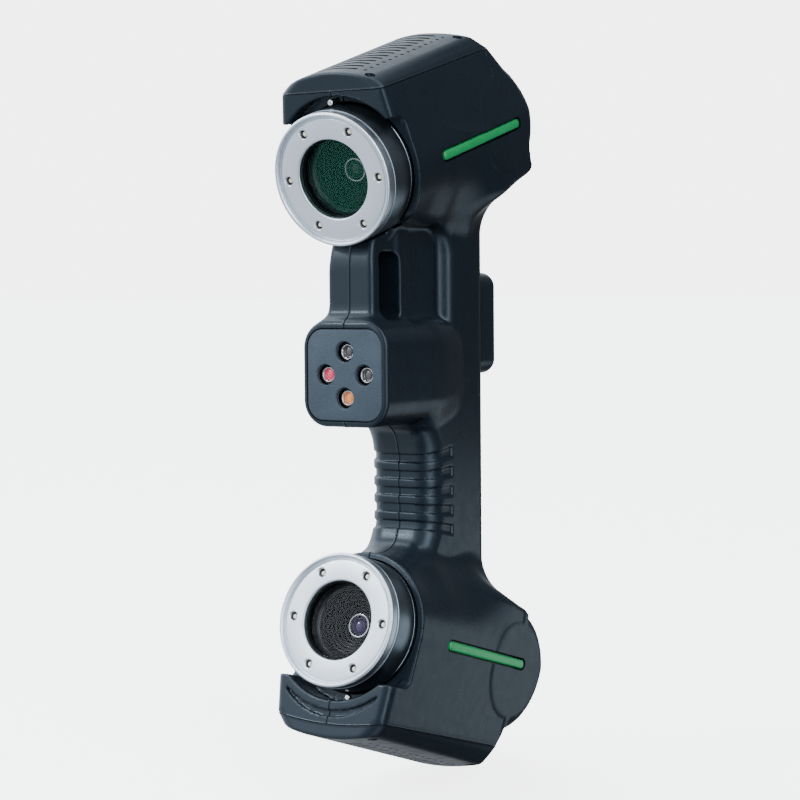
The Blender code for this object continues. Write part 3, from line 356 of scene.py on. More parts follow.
def outer_mesh():
    """Skin the outer field, then settle every vertex exactly on it."""
    low = np.array(CAD_BOX[0], float) / MM - FIELD_MARGIN
    high = np.array(CAD_BOX[1], float) / MM + FIELD_MARGIN
    counts = np.ceil((high - low) / VOXEL).astype(int) + 1
    axes = [low[i] + VOXEL * np.arange(counts[i]) for i in range(3)]
    grid = np.empty(counts, np.float32)
    for k in range(0, counts[2], 24):
        x, y, z = np.meshgrid(axes[0], axes[1], axes[2][k:k + 24], indexing="ij")
        grid[:, :, k:k + 24] = outer_field(x, y, z)
    volume = openvdb.FloatGrid(FIELD_MARGIN)
    volume.copyFromArray(np.clip(grid, -FIELD_MARGIN, FIELD_MARGIN))
    points, quads = volume.convertToQuads(isovalue=0.0)
    points = points.astype(np.float64) * VOXEL + low
    step = 0.05
    for _ in range(3):
        value = field_values(points)
        slope = np.empty_like(points)
        for axis in range(3):
            nudge = np.zeros(3)
            nudge[axis] = step
            slope[:, axis] = (field_values(points + nudge) - field_values(points - nudge)) / (2 * step)
        size = np.maximum((slope ** 2).sum(1), 0.25)
        move = -(value / size)[:, None] * slope
        points += np.clip(move, -0.4 * VOXEL, 0.4 * VOXEL)
    mesh = bpy.data.meshes.new("outer")
    mesh.vertices.add(len(points))
    mesh.vertices.foreach_set("co", points.astype(np.float32).ravel())
    mesh.loops.add(quads.size)
    mesh.loops.foreach_set("vertex_index", quads[:, ::-1].astype(np.int32).ravel())
    mesh.polygons.add(len(quads))
    mesh.polygons.foreach_set("loop_start", np.arange(0, quads.size, 4, dtype=np.int32))
    mesh.update(calc_edges=True)
    mesh.validate()
    return mesh


# ---------------------------------------------------------------- solids
IDENTITY = Matrix.Identity(4)


def working(name, mesh):
    """A loose object, in millimetres, for the steps before a piece is finished."""
    obj = bpy.data.objects.new(name, mesh)
    bpy.context.scene.collection.objects.link(obj)
    return obj


def solid(name, points, faces, place=IDENTITY):
    """A working solid from points and faces, its faces turned outward."""
    mesh = bpy.data.meshes.new(name)
    mesh.from_pydata([place @ Vector(p) for p in points], [], faces)
    work = bmesh.new()
    work.from_mesh(mesh)
    bmesh.ops.recalc_face_normals(work, faces=work.faces)
    work.to_mesh(mesh)
    work.free()
    return working(name, mesh)


def combine(target, tool, operation="DIFFERENCE", keep=False):
    """Boolean two closed solids and return the result."""
    cut = target.modifiers.new(operation, "BOOLEAN")
    cut.operation = operation
    cut.solver = "MANIFOLD"
    cut.object = tool
    bpy.context.view_layer.update()
    graph = bpy.context.evaluated_depsgraph_get()
    mesh = bpy.data.meshes.new_from_object(target.evaluated_get(graph))
    made = working(target.name, mesh)
    bpy.data.objects.remove(target, do_unlink=True)
    if not keep:
        bpy.data.objects.remove(tool, do_unlink=True)
    return made


def cut_all(target, tools):
    """Take each tool out of a solid."""
    for tool in tools:
        target = combine(target, tool)
    return target


def duplicate(obj):
    """A separate copy of a working solid."""
    return working(obj.name, obj.data.copy())


def arc(cx, cy, radius, start, end, steps):
    """Points along an arc, angles in degrees, both ends included."""
    angles = [math.radians(start + (end - start) * i / steps) for i in range(steps + 1)]
    return [(cx + radius * math.cos(a), cy + radius * math.sin(a)) for a in angles]


def rounded_rectangle(half_x, half_y, radius, steps=8):
    """Outline function of a rectangle with round corners; the argument is an inset."""
    def outline(inset):
        x, y, r = half_x - inset, half_y - inset, max(radius - inset, 0.05)
        return (arc(x - r, r - y, r, -90, 0, steps) + arc(x - r, y - r, r, 0, 90, steps)
                + arc(r - x, y - r, r, 90, 180, steps) + arc(r - x, r - y, r, 180, 270, steps))
    return outline


def stadium(half_length, half_height, steps=12):
    """Outline function of a slot with round ends."""
    def outline(inset):
        r = max(half_height - inset, 0.05)
        return arc(half_length, 0, r, -90, 90, steps) + arc(-half_length, 0, r, 90, 270, steps)
    return outline


def circle(radius, segments=48):
    """Outline function of a circle."""
    def outline(inset):
        r = max(radius - inset, 0.02)
        return [(r * math.cos(2 * math.pi * i / segments), r * math.sin(2 * math.pi * i / segments))
                for i in range(segments)]
    return outline


def loft(name, sections, place=IDENTITY):
    """Skin a stack of closed sections that all have the same number of points."""
    count = len(sections[0])
    points = [p for section in sections for p in section]
    faces = []
    for k in range(len(sections) - 1):
        for i in range(count):
            j = (i + 1) % count
            faces.append((k * count + i, k * count + j, (k + 1) * count + j, (k + 1) * count + i))
    faces.append(tuple(range(count))[::-1])
    faces.append(tuple(range((len(sections) - 1) * count, len(sections) * count)))
    return solid(name, points, faces, place)


def stacked(name, outline, levels, place):
    """A solid through (inset, height) levels of one outline, drawn in local X, Y and raised along Z."""
    return loft(name, [[(x, y, height) for x, y in outline(inset)] for inset, height in levels], place)


def softened(profile, radius, steps=3):
    """A closed profile with its corners rounded, except those on the axis."""
    result = []
    count = len(profile)
    for i, (r, d) in enumerate(profile):
        if r < 0.001:
            result.append((r, d))
            continue
        here = Vector((r, d))
        before, after = Vector(profile[i - 1]), Vector(profile[(i + 1) % count])
        to_before, to_after = before - here, after - here
        reach = min(radius, to_before.length * 0.45, to_after.length * 0.45)
        start = here + to_before.normalized() * reach
        end = here + to_after.normalized() * reach
        for k in range(steps + 1):
            t = k / steps
            result.append(tuple(start * (1 - t) ** 2 + here * 2 * t * (1 - t) + end * t * t))
    return result


def lathe(name, profile, place, soft=0.15, segments=96):
    """Turn a closed (radius, depth) profile about the frame's v axis, its local Y."""
    profile = softened(profile, soft) if soft else profile
    points, first = [], []
    for radius, depth in profile:
        first.append(len(points))
        if radius < 0.001:
            points.append((0, depth, 0))
        else:
            points += [(radius * math.cos(2 * math.pi * i / segments), depth,
                        radius * math.sin(2 * math.pi * i / segments)) for i in range(segments)]
    faces = []
    for k, (radius, _) in enumerate(profile):
        m = (k + 1) % len(profile)
        pole, other_pole = radius < 0.001, profile[m][0] < 0.001
        if pole and other_pole:
            continue
        for i in range(segments):
            j = (i + 1) % segments
            if pole:
                faces.append((first[k], first[m] + i, first[m] + j))
            elif other_pole:
                faces.append((first[k] + i, first[k] + j, first[m]))
            else:
                faces.append((first[k] + i, first[k] + j, first[m] + j, first[m] + i))
    return solid(name, points, faces, place)


def cylinder(radius, start, end, place, segments=48):
    """A closed cylinder along local Y."""
    profile = [(0, start), (radius, start), (radius, end), (0, end)]
    return lathe("cylinder", profile, place, 0, segments)


def block(low, high, place=IDENTITY):
    """A plain box, used as a tool."""
    xs, ys, zs = zip(low, high)
    points = [(x, y, z) for x in xs for y in ys for z in zs]
    faces = [(0, 1, 3, 2), (4, 6, 7, 5), (0, 4, 5, 1), (2, 3, 7, 6), (0, 2, 6, 4), (1, 5, 7, 3)]
    return solid("block", points, faces, place)


def merge(name, solids):
    """Several separate working solids as one object."""
    work = bmesh.new()
    for obj in solids:
        work.from_mesh(obj.data)
        bpy.data.objects.remove(obj, do_unlink=True)
    mesh = bpy.data.meshes.new(name)
    work.to_mesh(mesh)
    work.free()
    return working(name, mesh)


def shift(x=0.0, y=0.0, z=0.0):
    """A translation, in millimetres."""
    return Matrix.Translation((x, y, z))


def axes_frame(first, second, third):
    """A turn that sends local X, Y and Z to three directions."""
    return Matrix((first, second, third)).transposed().to_4x4()


def side_frame(head, side):
    """A frame on a head's side: local X runs back, Y outward from the grip, Z out of the side."""
    return head.matrix @ axes_frame((0, 1, 0), (0, 0, 1), (side, 0, 0))


# ---------------------------------------------------------------- materials
def surface(name, color, roughness, metallic=0.0, grain=(900.0, 0.10), mottle=0.12, **sockets):
    """A procedural finish: fine bump, uneven roughness and slight colour variation."""
    made = bpy.data.materials.new(name)
    made.use_nodes = True
    nodes, links = made.node_tree.nodes, made.node_tree.links
    shader = nodes["Principled BSDF"]
    shader.inputs["Metallic"].default_value = metallic
    for socket, value in sockets.items():
        shader.inputs[socket.replace("_", " ")].default_value = value
    place = nodes.new("ShaderNodeTexCoord")

    def noise(scale, detail):
        made_noise = nodes.new("ShaderNodeTexNoise")
        made_noise.inputs["Scale"].default_value = scale
        made_noise.inputs["Detail"].default_value = detail
        links.new(place.outputs["Object"], made_noise.inputs["Vector"])
        return made_noise.outputs["Fac"]

    tint = nodes.new("ShaderNodeMix")
    tint.data_type = "RGBA"
    tint.inputs["A"].default_value = (*(c * (1 - mottle) for c in color), 1)
    tint.inputs["B"].default_value = (*(min(c * (1 + mottle), 1.0) for c in color), 1)
    links.new(noise(60.0, 4.0), tint.inputs["Factor"])
    links.new(tint.outputs["Result"], shader.inputs["Base Color"])
    spread = nodes.new("ShaderNodeMapRange")
    levels = {"From Min": 0.3, "From Max": 0.7, "To Min": roughness * 0.88,
              "To Max": min(roughness * 1.14, 1.0)}
    for socket, value in levels.items():
        spread.inputs[socket].default_value = value
    links.new(noise(220.0, 3.0), spread.inputs["Value"])
    links.new(spread.outputs["Result"], shader.inputs["Roughness"])
    scale, strength = grain
    bump = nodes.new("ShaderNodeBump")
    bump.inputs["Strength"].default_value = strength
    bump.inputs["Distance"].default_value = 0.0002
    links.new(noise(scale, 2.0), bump.inputs["Height"])
    links.new(bump.outputs["Normal"], shader.inputs["Normal"])
    return made


def coated(name, color, roughness, coat_roughness, **sockets):
    """Coated lens glass, smooth and slightly uneven in colour."""
    return surface(name, color, roughness, grain=SMOOTH, mottle=0.3, Coat_Weight=1.0,
                   Coat_Roughness=coat_roughness, **sockets)


SMOOTH = (300.0, 0.0)               # grain of glass: no bump
# Emission strength that paints red and orange glints on the laser lenses.
PAINTED_GLINT_EMISSION = 0.35
COOL = (0.74, 0.88, 1.0, 1.0)       # tint of the dark plastics' shine
HOUSING = surface("housing_plastic", (0.0080, 0.0125, 0.0185), 0.30, grain=(2600.0, 0.12), mottle=0.08,
                  Specular_IOR_Level=0.36, Specular_Tint=COOL)
COVER = surface("cover_plastic", (0.0085, 0.0130, 0.0190), 0.38, grain=(2600.0, 0.16), mottle=0.08,
                Specular_IOR_Level=0.36, Specular_Tint=COOL)
PLATE = surface("plate_plastic", (0.036, 0.048, 0.064), 0.60, grain=(1500.0, 0.85), mottle=0.25,
                Specular_Tint=COOL)
SILVER = surface("silver_aluminium", (0.66, 0.71, 0.77), 0.34, 1.0, grain=(2300.0, 0.38), mottle=0.06)
BARREL = surface("dark_metal", (0.215, 0.250, 0.285), 0.32, 1.0, grain=(700.0, 0.02), mottle=0.05)
BARE = surface("bare_aluminium", (0.58, 0.59, 0.61), 0.38, 1.0, grain=(1200.0, 0.15))
BLACK_METAL = surface("black_metal", (0.003, 0.003, 0.004), 0.26, 0.0, grain=(1500.0, 0.06),
                      Specular_IOR_Level=0.14)
BLACK_SATIN = surface("black_satin", (0.010, 0.011, 0.013), 0.38, 0.0, grain=(1500.0, 0.10))
STEEL = surface("steel", (0.62, 0.62, 0.64), 0.20, 1.0, grain=(1500.0, 0.08))
GREEN = surface("green_light", (0.012, 0.300, 0.085), 0.34, grain=(900.0, 0.05), mottle=0.10,
                Subsurface_Weight=0.25, Subsurface_Scale=0.002, Coat_Weight=0.10,
                Coat_Roughness=0.12)
WINDOW_GREEN = surface("green_glass", (0.004, 0.050, 0.034), 0.02, grain=SMOOTH, mottle=0.02, Alpha=0.24,
                       Specular_IOR_Level=1.0, Specular_Tint=(0.25, 1.0, 0.70, 1.0))
WINDOW_CLEAR = surface("clear_glass", (0.006, 0.007, 0.010), 0.02, grain=SMOOTH, mottle=0.01, Alpha=0.14,
                       Specular_IOR_Level=0.8)
LENS_GREEN = coated("lens_glass_green", (0.02, 0.10, 0.07), 0.03, 0.02, Coat_Tint=(0.7, 0.95, 0.9, 1.0),
                    Specular_Tint=(1.0, 0.30, 0.55, 1.0))
LENS_VIOLET = coated("lens_glass_violet", (0.05, 0.03, 0.12), 0.03, 0.02,
                     Specular_Tint=(0.75, 0.35, 1.0, 1.0))
RUBBER = surface("black_rubber", (0.012, 0.012, 0.013), 0.70, grain=(1800.0, 0.25))
KEYS = surface("key_rubber", (0.032, 0.035, 0.040), 0.55, grain=(2000.0, 0.20))
BOARD = surface("circuit_board", (0.012, 0.110, 0.045), 0.50, grain=(900.0, 0.20), mottle=0.25)
LED = surface("led", (0.93, 0.86, 0.70), 0.22, grain=(1800.0, 0.05), mottle=0.10,
              Emission_Color=(1.0, 0.93, 0.80, 1.0), Emission_Strength=0.18)
# Red and orange laser lenses: their emission paints coloured glints.
LASER_RED = coated("laser_glass_red", (0.80, 0.03, 0.10), 0.06, 0.03,
                   Emission_Color=(0.9, 0.02, 0.10, 1.0), Emission_Strength=PAINTED_GLINT_EMISSION)
LASER_ORANGE = coated("laser_glass_orange", (0.85, 0.25, 0.05), 0.08, 0.03,
                      Emission_Color=(0.9, 0.22, 0.04, 1.0), Emission_Strength=PAINTED_GLINT_EMISSION)
LASER_DARK = coated("laser_glass_dark", (0.05, 0.045, 0.05), 0.06, 0.03)
MARK_PAINT = surface("mark_paint", (0.55, 0.57, 0.60), 0.45, grain=(1500.0, 0.05))


def finish(obj, name, look, replaced=(), body=BODY, sharp=38.0):
    """Turn a working solid into a named piece that rides on a body."""
    obj.name = name
    obj.data.name = name
    obj.data.transform(Matrix.Scale(MM, 4))
    obj.data.materials.clear()
    obj.data.materials.append(look)
    obj.data.shade_smooth()
    obj.data.set_sharp_from_angle(angle=math.radians(sharp))
    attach(obj, body)
    if replaced:
        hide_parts(*replaced)
    return obj


def turned(name, profile, place, look, replaced=(), soft=0.1, segments=96):
    """A finished turned piece that stands for the CAD nodes it names."""
    return finish(lathe(name, profile, place, soft, segments), name, look, replaced)


# ---------------------------------------------------------------- housing
def soften_line(mesh, distance, reach=0.55, depth=0.16):
    """Round the edges beside a seam: vertices near it sink along their normals."""
    count = len(mesh.vertices)
    co = np.empty(count * 3, np.float32)
    normals = np.empty(count * 3, np.float32)
    mesh.vertices.foreach_get("co", co)
    mesh.vertex_normals.foreach_get("vector", normals)
    co, normals = co.reshape(-1, 3), normals.reshape(-1, 3)
    near = np.clip(1 - (np.abs(distance(co)) - SEAM_GAP) / reach, 0, 1)
    co -= normals * (depth * near * near)[:, None]
    mesh.vertices.foreach_set("co", co.ravel())
    mesh.update()


def inside_covers(co):
    """Whether points lie between the two covers, where the halves meet."""
    return np.maximum(*(seam_distance(head, co) for head in HEADS)) < 0


def seam_distance(head, co):
    """How far points lie beyond a cover's seam, along w."""
    u, _, w = head.local(co[:, 0], co[:, 1], co[:, 2])
    height, half, sag = head.seam
    return w - height - sag * np.clip(1 - (u / half) ** 2, 0, 1)


def support_loops(mesh, head=None):
    """Cut clean lines beside a seam, so that its edges stay straight."""
    work = bmesh.new()
    work.from_mesh(mesh)
    sag = head.seam[2] if head else 0.0
    if head:
        drop = [sag * max(0.0, 1 - (v.co.x / head.seam[1]) ** 2) for v in work.verts]
        for vert, low in zip(work.verts, drop):
            vert.co -= head.outward * low
        centre, normal = head.matrix @ Vector((0, 0, head.seam[0])), head.outward
    else:
        centre, normal = Vector((0, 0, 0)), Vector((1, 0, 0))
    for offset in SEAM_LOOPS:
        geometry = work.verts[:] + work.edges[:] + work.faces[:]
        bmesh.ops.bisect_plane(work, geom=geometry, dist=1e-5, plane_co=centre + normal * offset,
                               plane_no=normal)
    if head and sag:
        for vert in work.verts:
            vert.co += head.outward * (sag * max(0.0, 1 - (vert.co.x / head.seam[1]) ** 2))
    work.to_mesh(mesh)
    work.free()


def head_hollow(head):
    """The inside of a head, a plain tapered tunnel."""
    seam_w, seam_half, _ = head.seam
    half = head.edge[0]
    sections = []
    for v in (COLLAR_FACE + WALL, head.roof[0] - 4.0):
        outline = arc(0, 0, COLLAR_RADIUS - WALL, 180, 360, 16)
        outline.append((seam_half - WALL, seam_w - 1))
        outline += [((half - WALL) * t, head.roof_height(half * t, v) - WALL - 0.4)
                    for t in (1.0, 0.5, 0.0, -0.5, -1.0)]
        outline.append((WALL - seam_half, seam_w - 1))
        sections.append([head.matrix @ Vector((u, v, w)) for u, w in outline])
    return loft("head_hollow", sections)


def grip_hollows():
    """The inside of the grip: wide below, and above the laser block stepped in behind the flat recesses."""
    wide = HANDLE_HALF_WIDTH - WALL
    outline = rounded_rectangle(wide, HANDLE_HALF_DEPTH - WALL, 7.0)(0.0)
    low, middle, high = -34.0, 60.0, 108.0
    lower = loft("grip_hollow", [[Vector((x, y, z)) for x, y in outline] for z in (low, middle)])
    rear = block((-wide, -6.0, middle - 0.1), (wide, HANDLE_HALF_DEPTH - WALL, high))
    spine = block((-8.5, -14.0, middle - 0.1), (8.5, -5.9, high))
    return [lower, rear, spine]


def cover_region(head):
    """Everything beyond a cover's seam, a slab with a curved lower face."""
    height, half, sag = head.seam
    reach = 60.0
    outline = [(-reach, height)]
    steps = 24 if sag else 1
    for i in range(steps + 1):
        u = half * (2 * i / steps - 1)
        outline.append((u, height + sag * (1 - (u / half) ** 2)))
    outline += [(reach, height), (reach, height + 60), (-reach, height + 60)]
    sections = [[head.matrix @ Vector((u, v, w)) for u, w in outline] for v in (-20.0, 160.0)]
    return loft("cover_region", sections)


def cover_screw_places(head):
    """Frames of a cover's four screws on the roof, local Y outward."""
    front, rear, across = head.screws
    turn = axes_frame((-1, 0, 0), (0, 0, 1), (0, 1, 0))
    return [head.matrix @ shift(u, v, head.roof_height(u, v)) @ turn
            for v in (front, rear) for u in (-across, across)]


def vent_tools(head):
    """Vent slots across the roof, with a small round hole at each end."""
    first, last = head.slots
    outline = stadium(SLOT_HALF_LENGTH - SLOT_WIDTH / 2, SLOT_WIDTH / 2, 6)
    tools = []
    for i in range(SLOT_COUNT):
        v = first + (last - first) * i / (SLOT_COUNT - 1)
        base = head.roof_height(0, v)
        levels = [(0, base - 6), (0, base + 0.4), (0, base + 4)]
        tools.append(stacked("slot", outline, levels, head.matrix @ shift(0, v, 0)))
        for u in (-VENT_DOT, VENT_DOT):
            tools.append(stacked("dot", circle(0.75, 16), levels, head.matrix @ shift(u, v, 0)))
    return merge("vents", tools)


def build_housing():
    """Skin, hollow and split the mouldings."""
    mesh = outer_mesh()
    support_loops(mesh)
    soften_line(mesh, lambda co: np.where(inside_covers(co), np.abs(co[:, 0]), 10.0))
    for head in HEADS:
        support_loops(mesh, head)
        soften_line(mesh, lambda co: seam_distance(head, co))
    shell = working("shell", mesh)
    shell = cut_all(shell, [head_hollow(head) for head in HEADS] + grip_hollows())
    shell = cut_all(shell, housing_tools())
    for head in HEADS:
        region = cover_region(head)
        cover = combine(duplicate(shell), region, "INTERSECT", keep=True)
        region.data.transform(Matrix.Translation(-head.outward * 2 * SEAM_GAP))
        shell = combine(shell, region)
        cover = combine(cover, vent_tools(head))
        recesses = [lathe("recess", [(0, -1.9), (2.0, -1.9), (2.0, 3), (0, 3)], place, 0, 32)
                    for place in cover_screw_places(head)]
        cover = combine(cover, merge("recesses", recesses))
        finish(cover, head.name + "_vent_cover_shell", COVER,
               (head.name + "_vent_cover",), sharp=50)
    far = 400.0
    for side, name in ((1, "left_housing"), (-1, "right_housing")):
        edges = sorted((side * SEAM_GAP, side * far))
        half = combine(duplicate(shell), block((edges[0], -far, -far), (edges[1], far, far)), "INTERSECT")
        finish(half, name + "_shell", HOUSING, (name,), sharp=50)
    bpy.data.objects.remove(shell, do_unlink=True)


def plate_place():
    """A frame on the laser block's front: local X across, Y up, Z out of the face."""
    low, high = box_mm("laser_front_plate")
    turn = axes_frame((1, 0, 0), (0, 0, 1), (0, -1, 0))
    return Matrix.Translation((0, low.y, (low.z + high.z) / 2)) @ turn


def socket_place():
    """The cable socket's frame, local Y out of the lower bulb."""
    return BOTTOM.matrix @ shift(0, *SOCKET_PLACE)


def boss_screws():
    """Frames of the four screws in the right side of the housing, local Y out of the side."""
    places = []
    for label in ("grip_low", "grip_high", "top_head", "bottom_head"):
        low, high = box_mm("housing_screw_" + label)
        middle = (low + high) / 2
        turn = axes_frame((0, 1, 0), (-1, 0, 0), (0, 0, 1))
        places.append((label, Matrix.Translation((low.x, middle.y, middle.z)) @ turn))
    return places


def housing_tools():
    """Bores, pockets and screw holes that the housing halves are cut by."""
    tools = []
    for head in HEADS:
        bore = [(0, -40), (BARREL_RADIUS + 0.7, -40), (BARREL_RADIUS + 0.7, COLLAR_FACE + 0.3),
                (BARREL_RADIUS + 0.3, COLLAR_FACE + 1.0), (BARREL_RADIUS + 0.3, BARREL_END + 2),
                (0, BARREL_END + 2)]
        tools.append(lathe("bore", bore, head.matrix, 0, 128))
        start, height = head.bar
        for side in (1, -1):
            place = side_frame(head, side) @ shift(start + BAR_POCKET / 2, height, 0)
            tools.append(stacked("pocket", stadium(BAR_POCKET / 2, 2.6), [(0, 25.0), (0, 40.0)], place))
        tools.append(cylinder(1.2, 4.0, 15.0, head.matrix @ shift(0, 0, PIN_HEIGHT), 24))
    margin = [(0.45, -8.0), (0.45, 0.0), (0.0, 0.4), (0.0, 4.0)]
    half_x, half_z, _ = face_of("laser_front_plate")
    pocket = rounded_rectangle(half_x + PLATE_MARGIN, half_z + PLATE_MARGIN, 7.8)
    tools.append(stacked("plate_pocket", pocket, margin, plate_place()))
    place = socket_place()
    tools.append(lathe("socket_seat", [(0, -20), (7.0, -20), (7.0, -1.8), (9.0, -1.8), (9.0, 30), (0, 30)],
                       place, 0))
    for _, place in boss_screws():
        tools.append(cylinder(2.3, 0.0, 30.0, place @ shift(0, -0.2, 0), 32))
    return tools


# ---------------------------------------------------------------- camera heads
def around(count, radius):
    """Shifts to evenly spaced places on a circle about local Y."""
    return [shift(radius * math.cos(2 * math.pi * i / count), 0, radius * math.sin(2 * math.pi * i / count))
            for i in range(count)]


def build_ring(head):
    """Silver ring with a raised round rim, a fine groove inside it and six light holes."""
    rim = RING_RADIUS - 1.9
    profile = [(RING_OPENING + 0.45, 0.0), (rim - 0.75, 0.0), (rim - 0.45, 0.45), (rim, 0.35),
               (rim + 0.25, -0.9), (rim + 0.8, -1.55), (RING_RADIUS - 0.45, -1.45),
               (RING_RADIUS, -0.85), (RING_RADIUS, 2.5), (RING_OPENING, 2.5), (RING_OPENING, 0.45)]
    ring = lathe("ring", profile, head.matrix, 0.3, 144)
    hole = [(0, -4), (2.1, -4), (2.1, -0.02), (1.65, 0.38), (1.65, 6), (0, 6)]
    holes = [lathe("hole", hole, head.matrix @ spot, 0, 32) for spot in around(LED_COUNT, LED_CIRCLE)]
    ring = combine(ring, merge("holes", holes))
    finish(ring, head.name + "_ring_face", SILVER, (head.name + "_led_ring",))


def build_leds(head):
    """The annular board behind the ring and its six domed lights."""
    board = [(23.4, 3.1), (23.4, 4.7), (15.9, 4.7), (15.9, 3.1)]
    turned(head.name + "_led_board_disc", board, head.matrix, BOARD,
           (head.name + "_led_board",))
    dome = [(0, 1.0), (0.5, 1.08), (0.85, 1.35), (1.02, 1.8), (1.05, 3.0), (0, 3.0)]
    tube = [(1.12, 1.75), (1.6, 1.75), (1.6, 3.0), (1.12, 3.0)]
    for kind, profile, soft, look, slot in (("_leds", dome, 0.1, LED, "led_board"),
                                            ("_led_cups", tube, 0.05, BLACK_SATIN, "black_rubber")):
        pieces = [lathe(kind, profile, head.matrix @ spot, soft, 24)
                  for spot in around(LED_COUNT, LED_CIRCLE)]
        finish(merge(kind, pieces), head.name + kind, look)


def build_barrel(head):
    """Glossy dark sleeve with a fine line round it, and the black baffle inside."""
    outer = BARREL_RADIUS
    profile = [(23.8, 2.8), (outer - 0.25, 2.8), (outer - 0.25, 3.1), (outer, 3.3), (outer, 14.6),
               (outer - 0.18, 14.8), (outer, 15.0), (outer, 23.7), (22.6, 23.7), (22.6, 8.8),
               (15.8, 8.8), (15.8, 6.9), (23.8, 6.9)]
    turned(head.name + "_barrel_sleeve", profile, head.matrix, BARREL,
           (head.name + "_lens_barrel",), 0.08, 144)
    baffle = [(15.6, 6.9), (15.6, 8.6), (15.4, 8.9), (15.4, 9.6), (14.0, 9.6), (13.7, 9.2), (14.6, 8.2),
              (15.1, 7.2), (15.3, 6.9)]
    turned(head.name + "_baffle", baffle, head.matrix, BLACK_SATIN, soft=0.08)


def build_window(head):
    """Flat window in front of the lens, with its seal and a black retaining ring."""
    look = WINDOW_GREEN if head is TOP else WINDOW_CLEAR
    turned(head.name + "_window", [(0, 5.1), (17.2, 5.1), (17.2, 6.6), (0, 6.6)], head.matrix, look,
           (head.name + "_window_glass",), 0.15)
    turned(head.name + "_window_gasket", [(17.4, 5.1), (19.4, 5.1), (19.4, 6.6), (17.4, 6.6)],
           head.matrix, RUBBER, (head.name + "_window_seal",), 0.3)
    keeper = [(15.1, 2.9), (15.7, 2.9), (15.7, 4.9), (16.9, 4.9), (16.9, 5.0), (14.9, 5.0), (14.9, 3.6)]
    turned(head.name + "_window_keeper", keeper, head.matrix, BLACK_METAL, soft=0.12)


def build_camera(head):
    """Stepped black lens with a bright bezel round its small front glass."""
    steps = [(13.5, 9.3), (12.5, 9.0)]
    radius, depth = 12.0, 9.8
    while radius > 6.0:
        steps += [(radius, depth), (radius - 0.25, depth + 0.9), (radius - 0.85, depth + 1.0)]
        radius -= 1.15
        depth += 1.35
    steps += [(5.7, 17.4), (5.2, 17.4)]
    profile = steps + [(5.2, 33.0), (13.2, 33.0), (13.5, 32.7), (13.5, 20.6), (12.7, 20.0),
                       (12.7, 17.6), (13.5, 17.0)]
    turned(head.name + "_lens_body", profile, head.matrix, BLACK_METAL,
           (head.name + "_camera_lens",))
    bezel = [(5.1, 17.2), (5.1, 16.2), (4.7, 15.8), (4.2, 15.8), (3.8, 16.3), (3.7, 17.2)]
    turned(head.name + "_lens_bezel", bezel, head.matrix, STEEL, soft=0.15)
    dome = [(0, 15.3)] + [(3.75 * math.sin(a), 15.3 + 2.2 * (1 - math.cos(a)))
                          for a in (0.2, 0.4, 0.6, 0.8, 1.0, 1.2)] + [(3.7, 18.5), (0, 18.5)]
    look = LENS_GREEN if head is TOP else LENS_VIOLET
    turned(head.name + "_lens_glass_dome", dome, head.matrix, look,
           (head.name + "_camera_lens_glass",), 0)


def build_light_bars(head):
    """Green translucent bars with round ends, set in black trays."""
    start, height = head.bar
    for side in (1, -1):
        world_side = "left" if side * head.sign > 0 else "right"
        label = head.name + "_" + world_side
        low, high = box_mm(label + "_light_bar")
        out = max(abs(low.x), abs(high.x))
        half = (BAR_POCKET - 0.6) / 2
        place = side_frame(head, side) @ shift(start + 0.6 + half, height, 0)
        levels = [(0.0, out - 2.8), (0.0, out - 0.95), (0.10, out - 0.62), (0.35, out - 0.36),
                  (0.75, out - 0.22), (1.3, out - 0.15)]
        bar = stacked("bar", stadium(half, 1.86), levels, place)
        finish(bar, label + "_light_strip", GREEN, (label + "_light_bar",))
        tray_place = side_frame(head, side) @ shift(start + BAR_POCKET / 2, height, 0)
        tray = stacked("tray", stadium(BAR_POCKET / 2, 2.42), [(0, out - 3.9), (0, out - 2.9)], tray_place)
        finish(tray, label + "_light_tray", BLACK_SATIN)


def build_screw(place, name, node, look, radius, top, bottom, shank):
    """A socket-head screw along local Y with a hexagonal recess."""
    profile = [(0, top), (radius - 0.25, top), (radius, top - 0.3), (radius, bottom), (1.05, bottom),
               (1.05, shank), (0, shank)]
    body = lathe("screw", profile, place, 0.06, 32)
    socket_turn = axes_frame((1, 0, 0), (0, 0, 1), (0, -1, 0))
    recess = stacked("hex", circle(radius * 0.5, 6), [(0, -top - 1.0), (0, -top + 0.9)],
                     place @ socket_turn.inverted())
    finish(combine(body, recess), name, look, (node,))


def build_screws():
    """Cover, visor and housing screws."""
    for head in HEADS:
        corners = ("front_a", "front_b", "rear_a", "rear_b")
        for place, corner in zip(cover_screw_places(head), corners):
            node = head.name + "_cover_screw_" + corner
            build_screw(place, node + "_cap", node, BLACK_METAL, 1.8, -0.7, -1.8, -6.5)
        turn = axes_frame((1, 0, 0), (0, -1, 0), (0, 0, -1))
        spot = head.matrix @ shift(0, head.pin, PIN_HEIGHT) @ turn
        node = head.name + "_visor_screw"
        build_screw(spot, node + "_cap", node, STEEL, 1.15, 1.1, 0.2, -5.0)
    for label, place in boss_screws():
        node = "housing_screw_" + label
        build_screw(place, node + "_cap", node, BLACK_METAL, 1.95, 0.9, 0.0, -12.0)


# ---------------------------------------------------------------- laser block
LASERS = {"upper": (0, 1, LASER_DARK), "lower": (0, -1, LASER_ORANGE), "left": (1, 0, LASER_DARK),
          "right": (-1, 0, LASER_RED)}


